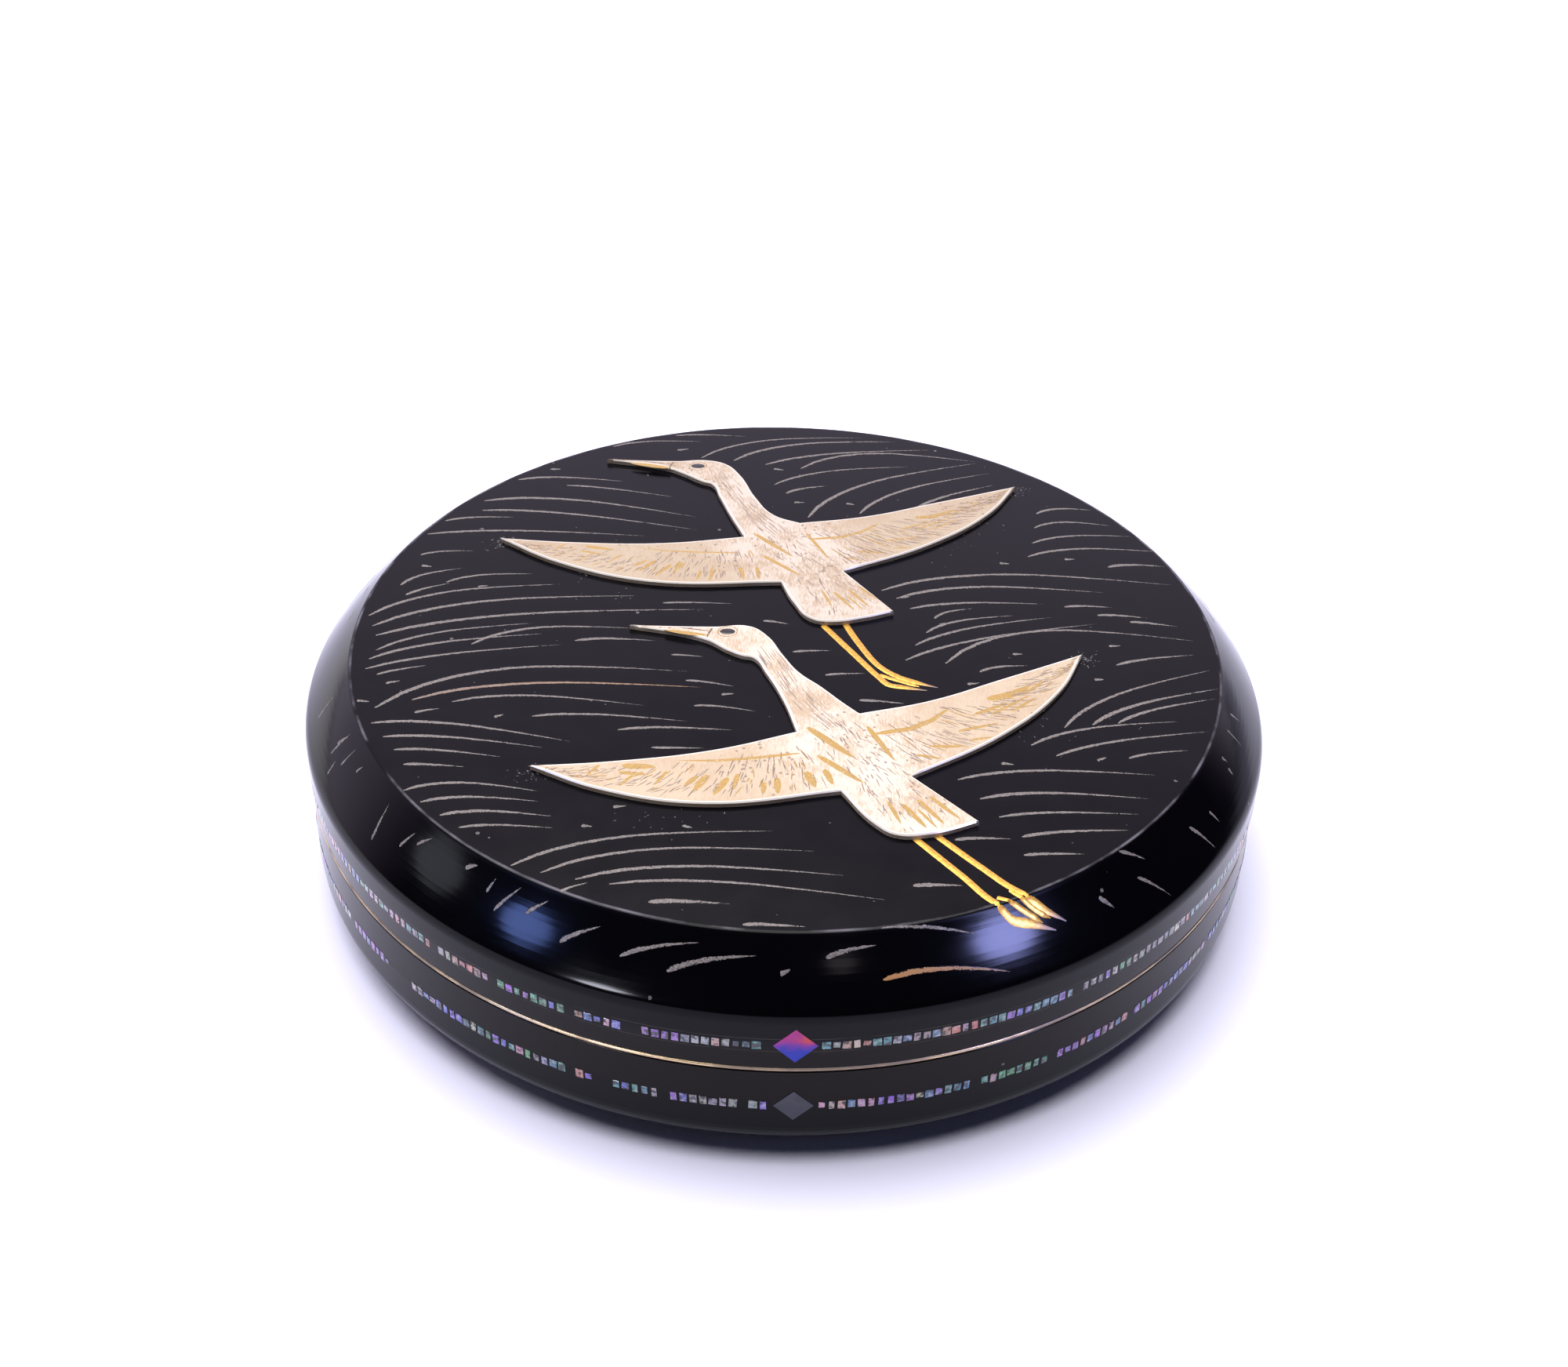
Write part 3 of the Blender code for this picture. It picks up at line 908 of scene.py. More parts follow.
def lay_mark(blank, path, width, height, surface, tones=None):
    """A copy of the blank along a path of x and y. Tones are named values from its start to its end."""
    shape = points_of(blank)
    shares = shape[:, 0]
    spots = smooth_path(path, shares)
    just_after = smooth_path(path, np.minimum(shares + 0.02, 1.0))
    just_before = smooth_path(path, np.maximum(shares - 0.02, 0.0))
    ahead = just_after - just_before
    ahead /= np.maximum(np.linalg.norm(ahead, axis=1), 1e-12)[:, None]
    reach = shape[:, 1] / TRIANGLE_HALF * width / 2
    sideways = np.column_stack([-ahead[:, 1], ahead[:, 0]]) * reach[:, None]
    level, normals = surface(spots + sideways)
    laid = np.column_stack([spots + sideways, level]) + normals * (shape[:, 2] * height)[:, None]
    mark = copy_of(blank, laid)
    set_numbers(mark, "side", (np.abs(shape[:, 1]) > 1e-6) * 1.5)
    for name, (first, last) in (tones or {}).items():
        set_numbers(mark, name, first + (last - first) * shares)
    return mark


def join_marks(name, marks):
    """Joins the marks into one piece."""
    deselect_all()
    for mark in marks:
        mark.select_set(True)
    bpy.context.view_layer.objects.active = marks[0]
    bpy.ops.object.join()
    joined = bpy.context.object
    joined.name = name
    joined.data.name = name
    face_outwards(joined)
    return joined


print("lid surface from %.1f to %.1f mm radius" % (SIDE_RADII[0] / MM, SIDE_RADII[-1] / MM))

# %% [markdown]
# ## Sprinkled silver
# Silver powder is dusted on wet lacquer drawn with a brush. It is thick where the brush starts and thins
# out to single grains at the end. The strokes lie in sheaves, like wind in reeds. A sheaf is given by
# its first and its last stroke, and those between are worked out, with a little unevenness from a fixed
# seed. A stroke arches most near its thick end.

# %% Powder finish
POWDER_SILVER = (0.215, 0.192, 0.184)
POWDER_SHADE = (0.090, 0.080, 0.078)
POWDER_GOLD = (0.36, 0.175, 0.055)


def make_powder_silver():
    material, tree, shader = new_material("sprinkled_silver", 0.5, IOR=LACQUER_IOR)
    cover, gilt, side = (attribute(tree, name) for name in ("cover", "gilt", "side"))
    powder = use_group(tree, POWDER)
    group_inputs = powder["Mask"].node.inputs
    tree.links.new(cover, group_inputs["Cover"])
    tree.links.new(side, group_inputs["Side"])
    grains = blend_colours(tree, fade(tree, powder["Shade"], 0.35, 0.65), POWDER_SHADE, POWDER_SILVER)
    grains = blend_colours(tree, gilt, grains, POWDER_GOLD)
    colour = blend_colours(tree, powder["Mask"], DEEP_BLACK, grains)
    feed_surface(shader, colour, powder["Shade"], 0.006 * MM, 0.5)
    feed(shader, "Roughness", fade(tree, powder["Mask"], 0.0, 1.0, SATIN_ROUGHNESS, 0.5))
    feed(shader, "Metallic", fade(tree, powder["Mask"], 0.0, 1.0, 0.0, 0.2))
    return material


POWDER_FINISH = make_powder_silver()
print("powder ready")

# %% [markdown]
# The places of the strokes are the picture. Their ends were read off the photograph and carried over
# to millimetres on the lid with the camera's place, outside this lesson. Only the two outer strokes of
# each sheaf are named. The short strokes on the bevel stand alone.

# %% The sheaves of strokes
STROKE_WIDTH = 0.50
STROKE_HEIGHT = 0.022 * MM
# count, first stroke's start and end, last stroke's start and end, bow, width
SHEAVES = {
    "back_rim": (2, (-16.0, 31.7), (-7.8, 32.9), (-10.0, 34.0), (-3.3, 33.7), 0.07, 0.8),
    "over_left_neck": (2, (-24.4, 25.2), (-15.0, 25.6), (-20.0, 24.3), (-9.8, 22.9), 0.05, 0.9),
    "left_of_neck": (2, (-27.2, 21.5), (-7.5, 19.0), (-27.3, 19.7), (-7.8, 16.6), 0.07, 1.1),
    "above_left_wing": (2, (-30.6, 17.7), (-24.6, 18.4), (-31.7, 15.7), (-12.7, 15.7), 0.06, 1.0),
    "by_left_tip": (1, (-32.1, 12.0), (-26.9, 13.1), (-32.1, 12.0), (-26.9, 13.1), 0.06, 0.8),
    "left_short": (2, (-33.2, 7.3), (-27.7, 9.9), (-32.3, 5.8), (-29.3, 7.4), 0.10, 1.1),
    "left_over_reeds": (1, (-29.1, 7.9), (-22.2, 9.5), (-29.1, 7.9), (-22.2, 9.5), 0.08, 0.9),
    "left_reeds": (3, (-35.0, 2.5), (-19.0, 7.5), (-34.0, -0.3), (-7.3, 3.8), 0.11, 1.1),
    "left_under_reeds": (3, (-33.7, -2.4), (-21.5, 1.8), (-34.4, -5.1), (-18.8, -1.8), 0.08, 1.1),
    "before_front_beak": (1, (-26.2, -1.6), (-12.7, 1.3), (-26.2, -1.6), (-12.7, 1.3), 0.10, 1.0),
    "below_front_beak": (1, (-17.5, -1.0), (-11.3, -0.9), (-17.5, -1.0), (-11.3, -0.9), 0.05, 1.3),
    "left_arches": (2, (-32.6, -10.5), (-8.0, -5.3), (-30.0, -9.2), (-6.8, -7.5), 0.14, 1.25),
    "left_flat": (3, (-26.8, -9.6), (-11.7, -9.6), (-13.5, -12.9), (-4.4, -13.3), 0.06, 1.0),
    "left_tails": (2, (-29.6, -11.0), (-27.3, -10.0), (-33.3, -6.0), (-29.0, -4.7), 0.05, 0.9),
    "left_falling": (4, (-32.7, -12.5), (-16.7, -14.6), (-29.6, -17.5), (-25.0, -17.9), 0.05, 1.0),
    "lower_left": (4, (-29.3, -20.8), (-19.2, -20.6), (-24.5, -24.8), (-17.5, -25.1), 0.09, 1.0),
    "front_arches": (4, (-20.5, -29.2), (-1.5, -25.5), (-13.3, -31.2), (6.5, -32.3), 0.085, 1.0),
    "front_dashes": (2, (-10.3, -32.9), (-4.8, -33.1), (-3.9, -35.2), (1.0, -35.0), 0.03, 1.4),
    "front_edge": (1, (-16.7, -31.9), (-14.6, -31.2), (-16.7, -31.9), (-14.6, -31.2), 0.05, 1.0),
    "back_arches": (3, (-7.5, 29.9), (7.6, 34.2), (-1.5, 28.7), (14.5, 32.0), 0.12, 1.0),
    "back_lower": (2, (1.8, 28.0), (18.8, 29.7), (-0.7, 24.8), (12.2, 28.2), 0.13, 1.0),
    "over_right_wing": (3, (2.2, 19.0), (19.0, 29.3), (12.0, 20.6), (19.7, 24.9), 0.11, 1.1),
    "by_right_neck": (1, (0.5, 23.2), (3.8, 24.3), (0.5, 23.2), (3.8, 24.3), 0.07, 1.0),
    "right_back": (4, (23.4, 20.0), (28.2, 21.0), (21.7, 12.7), (33.4, 13.6), 0.13, 1.0),
    "right_back_dash": (1, (28.5, 11.3), (34.0, 11.3), (28.5, 11.3), (34.0, 11.3), 0.07, 1.2),
    "right_arches": (3, (8.3, 7.1), (33.6, 8.3), (10.6, 4.4), (22.1, 5.2), 0.09, 1.15),
    "right_dashes": (3, (23.8, 4.8), (28.1, 4.5), (29.3, 2.6), (33.5, 2.0), 0.04, 1.0),
    "right_under": (4, (12.6, 2.9), (16.3, 4.3), (9.8, -3.2), (26.3, 2.3), 0.10, 1.0),
    "over_front_tip": (1, (13.0, -3.6), (34.5, -0.3), (13.0, -3.6), (34.5, -0.3), 0.15, 1.1),
    "by_front_tip": (2, (15.6, -4.9), (19.5, -3.7), (27.0, -3.7), (34.0, -2.6), 0.08, 0.9),
    "right_fan": (3, (21.6, -12.2), (35.0, -4.6), (26.2, -11.6), (34.3, -8.7), 0.09, 1.2),
    "right_fall": (2, (18.8, -14.7), (30.9, -11.6), (20.7, -15.8), (33.2, -12.7), 0.08, 1.1),
    "right_fall_dash": (1, (26.3, -16.1), (30.7, -15.6), (26.3, -16.1), (30.7, -15.6), 0.04, 1.0),
    "right_flat": (4, (12.8, -19.1), (28.0, -18.5), (16.8, -25.5), (24.5, -25.1), 0.06, 1.05),
    "right_front_dashes": (2, (11.8, -26.0), (15.9, -25.9), (16.8, -27.8), (21.0, -27.8), 0.03, 1.1),
    "by_front_legs": (1, (8.3, -31.2), (11.8, -31.3), (8.3, -31.2), (11.8, -31.3), 0.02, 1.5),
    "between_herons": (3, (0.4, -2.1), (3.8, -2.0), (5.6, -8.9), (9.2, -9.2), 0.03, 1.0),
    "under_rear_tail": (2, (-2.0, 2.2), (-0.1, 2.2), (-10.4, 4.9), (-4.1, 5.1), 0.04, 0.9),
    "by_front_neck": (3, (-7.5, -9.9), (-2.7, -10.5), (-9.4, -2.9), (-6.7, -3.0), 0.04, 0.8),
    "over_front_wing": (1, (-10.8, -15.1), (-7.1, -15.2), (-10.8, -15.1), (-7.1, -15.2), 0.0, 0.9),
}
# start, end and width of each stroke on the bevel and the ridge
BEVEL_STROKES = (
    ((-37.9, -8.0), (-36.6, -7.1), 0.7), ((-36.0, -13.2), (-34.3, -12.9), 0.7),
    ((-36.1, -14.8), (-35.4, -14.3), 0.6), ((-34.9, -15.1), (-33.6, -14.8), 0.6),
    ((-33.4, -16.8), (-32.8, -16.8), 0.8), ((-31.5, -22.8), (-30.2, -21.2), 0.8),
    ((-29.1, -24.6), (-27.9, -24.4), 0.8), ((-27.7, -25.2), (-26.5, -25.4), 0.8),
    ((-22.1, -30.3), (-21.4, -29.8), 0.8), ((-21.5, -31.5), (-19.5, -30.9), 0.8),
    ((-19.1, -32.4), (-17.5, -32.2), 0.9), ((-16.6, -34.5), (-13.7, -34.4), 0.9),
    ((-12.3, -36.1), (-6.8, -36.2), 0.8), ((-9.0, -37.3), (-2.8, -37.1), 0.9),
    ((2.0, -37.2), (5.5, -36.4), 0.9), ((6.0, -38.0), (15.1, -36.2), 1.0),
    ((5.9, -35.5), (12.6, -34.9), 0.8), ((35.6, -9.3), (36.5, -9.2), 0.7),
    ((34.9, -11.5), (36.2, -11.8), 0.6), ((33.9, -14.8), (34.4, -14.8), 0.9),
    ((34.4, -15.3), (34.8, -15.5), 0.9), ((32.0, -20.3), (32.9, -20.4), 0.7),
    ((30.0, -22.6), (32.3, -22.5), 0.8), ((23.8, -27.1), (25.9, -26.7), 0.9),
    ((25.2, -28.1), (28.0, -27.8), 0.7), ((22.0, -30.5), (23.2, -30.6), 0.9),
)
GILT_BEVEL_STROKE = 15
GILT_SHEAF_STROKE = ("left_arches", 1)
NOT_GILT = (0.0, 0.0)
DOTS = (
    (-21.2, 27.3), (-9.3, 31.3), (-0.2, 27.7), (1.6, 21.7), (6.3, 21.5), (-31.2, 10.3), (-26.0, 7.2),
    (19.5, 11.6), (25.4, 12.4), (27.4, -1.0), (-31.8, -6.9), (-33.8, -9.5), (-22.9, -11.3), (-4.9, -8.2),
    (-15.2, -24.7), (-12.9, -22.4), (15.0, -6.5), (16.7, -17.0), (24.1, -16.3), (13.5, 2.1),
    (-7.8, -24.7), (25.4, -5.8), (-35.0, -12.9), (-23.3, -28.4), (-0.8, -37.9), (10.3, 6.1), (19.1, -2.3),
)
print("%d sheaves, %d strokes on the bevel, %d dots" % (len(SHEAVES), len(BEVEL_STROKES), len(DOTS)))

# %% [markdown]
# Each stroke is a copy of the brush mark along its own arch. The bevel behind isn't in the photograph,
# and it gets the same short strokes, as far apart as in front.

# %% Lay the strokes
# share of the way along, and share of the arch's height reached there
ARCH = ((0.10, 0.52), (0.25, 0.90), (0.45, 1.0), (0.72, 0.62))
DOT_WIDTH = 0.55 * MM
BACK_STROKES = 30
BACK_START, BACK_STEP = 8.0, 5.7
BACK_WIDTH = 0.32 * MM
BACK_RADII = (36.6, 38.8)
BACK_LIMITS = (36.2, 39.3)


def stroke_path(start, end, bow):
    """Start, four points of the arch and the end, in metres."""
    start, end = np.array(start, float), np.array(end, float)
    run = end - start
    rise = np.array((-run[1], run[0]))
    between = [start + run * share + rise * bow * lift for share, lift in ARCH]
    return np.array([start, *between, end]) * MM


def lay_sheaf(name, sheaf, draw):
    count, first_start, first_end, last_start, last_end, bow, width = sheaf
    laid = []
    for number in range(count):
        share = number / max(count - 1, 1)
        start = [a + (b - a) * share + draw.uniform(-0.15, 0.15) for a, b in zip(first_start, last_start)]
        end = [a + (b - a) * share + draw.uniform(-0.45, 0.45) for a, b in zip(first_end, last_end)]
        path = stroke_path(start, end, bow * (1 - 0.45 * share) * draw.uniform(0.85, 1.15))
        wide = STROKE_WIDTH * width * draw.uniform(0.85, 1.15) * MM
        gilt = (0.10, 0.50) if (name, number) == GILT_SHEAF_STROKE else NOT_GILT
        tones = {"cover": (1.10, 0.70), "gilt": gilt}
        laid.append(lay_mark(brush_mark, path, wide, STROKE_HEIGHT, on_lid, tones))
    return laid


def lay_bevel_strokes(draw):
    laid = []
    for number, (start, end, width) in enumerate(BEVEL_STROKES):
        gilt = (0.9, 0.3) if number == GILT_BEVEL_STROKE else NOT_GILT
        wide = STROKE_WIDTH * width * draw.uniform(0.9, 1.1) * MM
        tones = {"cover": (1.05, 0.75), "gilt": gilt}
        laid.append(lay_mark(brush_mark, stroke_path(start, end, 0.02), wide, STROKE_HEIGHT, on_lid, tones))
    return laid


def lay_dots(draw):
    laid = []
    for x, y in DOTS:
        half = draw.uniform(0.32, 0.55)
        lean = draw.uniform(-0.15, 0.2)
        path = np.array([(x - half, y - lean), (x + half, y + lean)]) * MM
        tones = {"cover": (0.95, 0.90), "gilt": NOT_GILT}
        laid.append(lay_mark(brush_mark, path, DOT_WIDTH, STROKE_HEIGHT, on_lid, tones))
    return laid


def lay_back_bevel(draw):
    laid = []
    for step in range(BACK_STROKES):
        angle = math.radians(BACK_START + step * BACK_STEP + draw.uniform(-1.5, 1.5))
        radius = draw.uniform(*BACK_RADII)
        x, y = radius * math.cos(angle), radius * math.sin(angle)
        length = draw.uniform(1.2, 4.2)
        slant = angle + math.pi / 2 + draw.uniform(-0.25, 0.25)
        end = (x + length * math.cos(slant), y + length * math.sin(slant))
        if BACK_LIMITS[0] < math.hypot(*end) < BACK_LIMITS[1]:
            path = stroke_path((x, y), end, draw.uniform(-0.03, 0.02))
            tones = {"cover": (1.0, 0.6), "gilt": NOT_GILT}
            laid.append(lay_mark(brush_mark, path, BACK_WIDTH, STROKE_HEIGHT, on_lid, tones))
    return laid


draw = random.Random(11)
strokes = []
for name, sheaf in SHEAVES.items():
    strokes += lay_sheaf(name, sheaf, draw)
strokes += lay_bevel_strokes(draw)
strokes += lay_dots(draw)
strokes += lay_back_bevel(draw)
print("%d strokes and dots" % len(strokes))
settle(join_marks("silver_strokes", strokes), POWDER_FINISH)

# %% [markdown]
# ## Engraving on the herons
# A graver cuts the feathers: long lines along the neck, short ones all over the body, and on the wings
# lines that run across near the body and swing outwards towards the tip. Some cuts are rubbed with gold.
# Here each cut is a mark laid a hair proud of the plate, because so thin a line would vanish in the face
# of the mesh. A wing gives every point two numbers: how far out along the wing, and how far back across
# it.

# %% Engraved line finish
CUT_BROWN = (0.125, 0.078, 0.050)
CUT_GREY = (0.25, 0.19, 0.15)
CUT_GOLD = (0.34, 0.205, 0.040)


def make_cut_finish():
    material, tree, shader = new_material("engraved_line", 0.45, metallic=0.25)
    dark = attribute(tree, "dark")
    gilt = attribute(tree, "gilt")
    grain = noise(tree, place(tree), 5200.0, 3.0)
    line = blend_colours(tree, dark, CUT_GREY, CUT_BROWN)
    colour = blend_colours(tree, gilt, line, CUT_GOLD)
    colour = blend_colours(tree, fade(tree, grain, 0.56, 0.72), colour, SILVER_CREAM)
    feed_surface(shader, colour, grain, 0.004 * MM, 0.5)
    return material


CUT_FINISH = make_cut_finish()
print("cut finish ready")

# %% [markdown]
# A cut is given in the bird's frame and turned on to the lid. One that would run off the plate is drawn
# back towards its start, and left out if that doesn't help.

# %% Engraving tools
LENGTH_MM = HERON_LENGTH / MM
CUT_HEIGHT = 0.010 * MM
CUT_WIDTH = 1.45


def wing_spot(heron, side, out, back):
    """A point of a wing in the bird's frame, in millimetres ahead and right."""
    left_tip, right_tip = wing_tips(heron)
    if side == "left":
        lead = along(LEFT_FRONT, left_tip, out, -0.19 * out * (1 - out))
        trail = along(LEFT_BACK, left_tip, out, -0.47 * out * (1 - out))
    else:
        lead = along(RIGHT_FRONT, right_tip, out, 0.13 * out * (1 - out))
        trail = along(RIGHT_BACK, right_tip, out, 0.36 * out * (1 - out))
    return (np.array(lead) * (1 - back) + np.array(trail) * back) * LENGTH_MM


def to_lid(heron, spots):
    """Points of the bird's frame, ahead and right in millimetres, as x and y on the lid in metres."""
    frame_matrix = heron_frame(heron)
    return np.array([(frame_matrix @ Vector((right * MM, ahead * MM, 0.0)))[:2] for ahead, right in spots])


def within(heron, spot):
    """Whether a point, ahead and right in millimetres, lies inside the bird's border."""
    ring = heron["edge"]
    after = np.roll(ring, -1, axis=0)
    crossing = (ring[:, 1] > spot[1]) != (after[:, 1] > spot[1])
    share = (spot[1] - ring[crossing, 1]) / (after[crossing, 1] - ring[crossing, 1])
    ahead = ring[crossing, 0] + share * (after[crossing, 0] - ring[crossing, 0])
    return np.count_nonzero(ahead > spot[0]) % 2 == 1


def cut(heron, spots, width, dark, gilt, held=True):
    """One cut in a list. It is drawn back towards its start until it ends on the plate, or else left out."""
    spots = np.array(spots, float)
    for attempt in range(8):
        if not held or within(heron, spots[-1]):
            break
        spots = spots[0] + (spots - spots[0]) * 0.78
    if held and not (within(heron, spots[0]) and within(heron, spots[-1])):
        return []
    tones = {"dark": (dark, dark), "gilt": (gilt, gilt * 0.9)}
    return [lay_mark(graver_mark, to_lid(heron, spots), width * CUT_WIDTH * MM, CUT_HEIGHT, on_plate, tones)]


def feather(heron, side, out, back, length, swing, width, dark, gilt):
    """One cut on a wing. Swing is its angle from straight back towards straight out."""
    start = wing_spot(heron, side, out, back)
    backwards = wing_spot(heron, side, out, 1.0) - wing_spot(heron, side, out, 0.0)
    outwards = wing_spot(heron, side, min(out + 0.1, 1.0), back) - start
    heading = (backwards / np.linalg.norm(backwards) * math.cos(swing)
               + outwards / np.linalg.norm(outwards) * math.sin(swing))
    return cut(heron, [start, start + heading * length], width, dark, gilt)


print("engraving tools ready")

# %% [markdown]
# The gold cuts are few and large, so they are named one by one, from spots read off the photograph: at
# the shoulder, along the leading edges, in fans at the trailing edges and in the tail.

# %% The gold cuts
# Points ahead and right of the shoulders in millimetres on the front bird, and the width of each gold cut.
# The rear bird's wings are swept otherwise, so the cuts of a wing turn with it.
GOLD_CUTS = {
    "left": (
        (((1.8, -3.4), (4.2, -9.9), (5.4, -12.0)), 0.30), (((6.8, -16.1), (5.5, -13.9)), 0.60),
        (((6.2, -16.7), (4.9, -14.8)), 0.36), (((3.0, -11.6), (2.4, -13.1)), 0.44),
        (((2.75, -10.9), (1.55, -12.7)), 0.56), (((1.75, -9.7), (0.45, -11.6)), 0.52),
        (((1.8, -8.8), (0.3, -10.05)), 0.42), (((0.05, -7.5), (-1.2, -8.3)), 0.40),
        (((0.0, -6.4), (-1.7, -7.3)), 0.50), (((-0.4, -4.1), (-2.9, -4.5)), 0.62),
        (((-0.8, -2.7), (-3.2, -3.2)), 0.50), (((4.6, -13.4), (3.6, -15.0)), 0.28),
        (((5.4, -15.9), (4.7, -17.4)), 0.26), (((7.7, -17.6), (7.0, -19.0)), 0.28),
    ),
    "right": (
        (((1.2, 2.95), (0.35, 6.8), (1.3, 10.1)), 0.50),
        (((0.85, 13.4), (0.45, 15.3), (0.75, 17.5)), 0.78), (((-0.4, 11.2), (-0.3, 14.6)), 0.32),
        (((-1.0, 12.5), (-0.3, 16.8)), 0.28), (((-1.6, 9.0), (-2.2, 12.4)), 0.28),
        (((-2.2, 6.0), (-3.4, 8.2)), 0.32), (((-2.6, 4.5), (-3.9, 5.9)), 0.30),
        (((0.0, 16.2), (0.8, 19.2)), 0.28), (((-1.4, 14.3), (-0.8, 17.0)), 0.26),
        (((-3.0, 9.2), (-3.6, 11.4)), 0.26),
    ),
    "body": (
        (((4.4, -1.2), (-0.6, 0.0)), 0.62), (((0.9, -2.3), (-3.6, -0.95)), 0.52),
        (((2.3, 3.0), (-2.45, 2.6)), 0.44), (((-7.1, 0.3), (-10.3, 0.4)), 0.42),
        (((-7.25, 1.6), (-10.5, 1.8)), 0.38), (((-7.35, 2.6), (-10.6, 3.15)), 0.36),
        (((-6.4, -0.5), (-9.0, -1.0)), 0.30), (((-5.9, 2.9), (-8.6, 3.7)), 0.26),
        (((-8.2, 1.0), (-10.7, 1.1)), 0.24),
    ),
}
GOLD_SHARE = {"rear_heron": 0.75, "front_heron": 1.15}
WING_ROOTS = {"left": (4.4, -2.0), "right": (4.1, 3.1)}


def sweep_with_wing(heron, part, spots):
    """Turns points of the front bird's wing to where this bird's wing is."""
    if part not in WING_ROOTS:
        return spots
    number = ("left", "right").index(part)
    change = math.radians(heron["sweeps"][number] - HERONS["front_heron"]["sweeps"][number])
    turn = change if part == "left" else -change
    pivot = np.array(WING_ROOTS[part])
    spin = np.array(((math.cos(turn), -math.sin(turn)), (math.sin(turn), math.cos(turn))))
    return (np.array(spots) - pivot) @ spin.T + pivot


def cut_gold(heron, share):
    laid = []
    for part, cuts in GOLD_CUTS.items():
        for spots, width in cuts:
            laid += cut(heron, sweep_with_wing(heron, part, spots), width * share, 0.5, 1.0)
    return laid


print("%d gold cuts on each bird" % sum(len(cuts) for cuts in GOLD_CUTS.values()))

# %% [markdown]
# The fine cuts come from loops with a fixed seed. On the wings they swing from straight back near the
# body to outwards at the tip, on the body they run backwards, and on the neck they follow its line.

# %% Cut the feathers
# angles from straight back towards straight out, near the body and at the tip
WING_SWING = {"left": (4.0, 70.0), "right": (14.0, 72.0)}
NECK_LINE = ((2.6, 0.7), (8.0, 0.45), (12.8, 0.95), (16.0, 1.3))
WING_CUTS = 210
BODY_CUTS = 120
NECK_CUTS = 80


def cut_wings(heron, draw):
    laid = []
    for side, (near, far) in WING_SWING.items():
        for number in range(WING_CUTS):
            out = 0.02 + 0.92 * (number + draw.random()) / WING_CUTS
            back = 0.16 + 0.66 * draw.random() ** 0.75
            swing = math.radians(near + (far - near) * min(out * 1.35, 1.0) + draw.uniform(-12, 12))
            room = 1.0 - out * 0.45
            length = draw.uniform(0.6, 1.7 if side == "left" else 2.6) * room
            gilt = 0.75 if draw.random() < 0.16 else 0.0
            width = draw.uniform(0.07, 0.12) * (1.5 if gilt else 1.0)
            laid += feather(heron, side, out, back * (1 - 0.12 * out), length, swing, width,
                            draw.uniform(0.2, 1.0), gilt)
    return laid


def cut_body(heron, draw):
    """Short cuts on body and tail, and long fine ones up the neck."""
    laid = []
    for number in range(BODY_CUTS):
        ahead = draw.uniform(-9.6, 4.2)
        middle, half = 0.6 + 0.035 * -ahead, 2.1 + 0.07 * max(-ahead - 2.0, 0.0)
        right = middle + draw.uniform(-half, half)
        length = draw.uniform(0.35, 1.3)
        lean = draw.uniform(-0.35, 0.35) + 0.10 * (right - middle)
        spots = [(ahead, right), (ahead - length * math.cos(lean), right + length * math.sin(lean))]
        laid += cut(heron, spots, draw.uniform(0.06, 0.11), draw.uniform(0.0, 0.8), 0.0)
    spine = np.array(NECK_LINE)
    for number in range(NECK_CUTS):
        share = draw.uniform(0.0, 0.86)
        at = smooth_path(spine, np.array([share, min(share + draw.uniform(0.05, 0.17), 1.0)]))
        shift = draw.uniform(-1.0, 1.0)
        spots = [(ahead, right + shift) for ahead, right in at]
        laid += cut(heron, spots, draw.uniform(0.05, 0.10), draw.uniform(0.0, 0.6), 0.0)
    return laid


for number, (name, heron) in enumerate(HERONS.items()):
    draw = random.Random(31 + number)
    cuts = cut_wings(heron, draw) + cut_body(heron, draw) + cut_gold(heron, GOLD_SHARE[name])
    settle(join_marks(name + "_engraving", cuts), CUT_FINISH)

# %% [markdown]
# ## Eyes and beaks
# The eye is an oval of black lacquer with a brown ring round it. The beak is split by a dark line from
# the corner of the mouth, with a wedge of gold below it.

# %% Eyes and beaks
def make_plain_finish(name, colour, shade, roughness, metallic=0.0):
    material, tree, shader = new_material(name, roughness, metallic=metallic)
    grain = noise(tree, place(tree), 3600.0, 3.0)
    mixed = blend_colours(tree, fade(tree, grain, 0.35, 0.65), shade, colour)
    feed_surface(shader, mixed, grain, 0.004 * MM, 0.5)
    return material


EYE_BLACK = make_plain_finish("eye_lacquer", (0.012, 0.008, 0.007), (0.006, 0.004, 0.004), 0.22)
EYE_SPOTS = {"rear_heron": (17.3, -0.05), "front_heron": (18.9, -0.45)}
EYE_HALF_LENGTH = 0.64 * MM
EYE_HALF_WIDTH = 0.44 * MM
EYE_RISE = 0.05 * MM


def model_eye(name, heron):
    x, y = to_lid(heron, [EYE_SPOTS[name]])[0]
    deselect_all()
    bpy.ops.mesh.primitive_uv_sphere_add(segments=24, ring_count=12, radius=1.0, location=(x, y, PLATE_TOP_Z))
    eye = bpy.context.object
    eye.name = name + "_eye"
    edit(eye)
    bpy.ops.mesh.select_all(action="SELECT")
    bpy.ops.transform.resize(value=(EYE_HALF_LENGTH, EYE_HALF_WIDTH, EYE_RISE),
                             center_override=(x, y, PLATE_TOP_Z))
    leave_edit()
    return settle(eye, EYE_BLACK, 60.0)


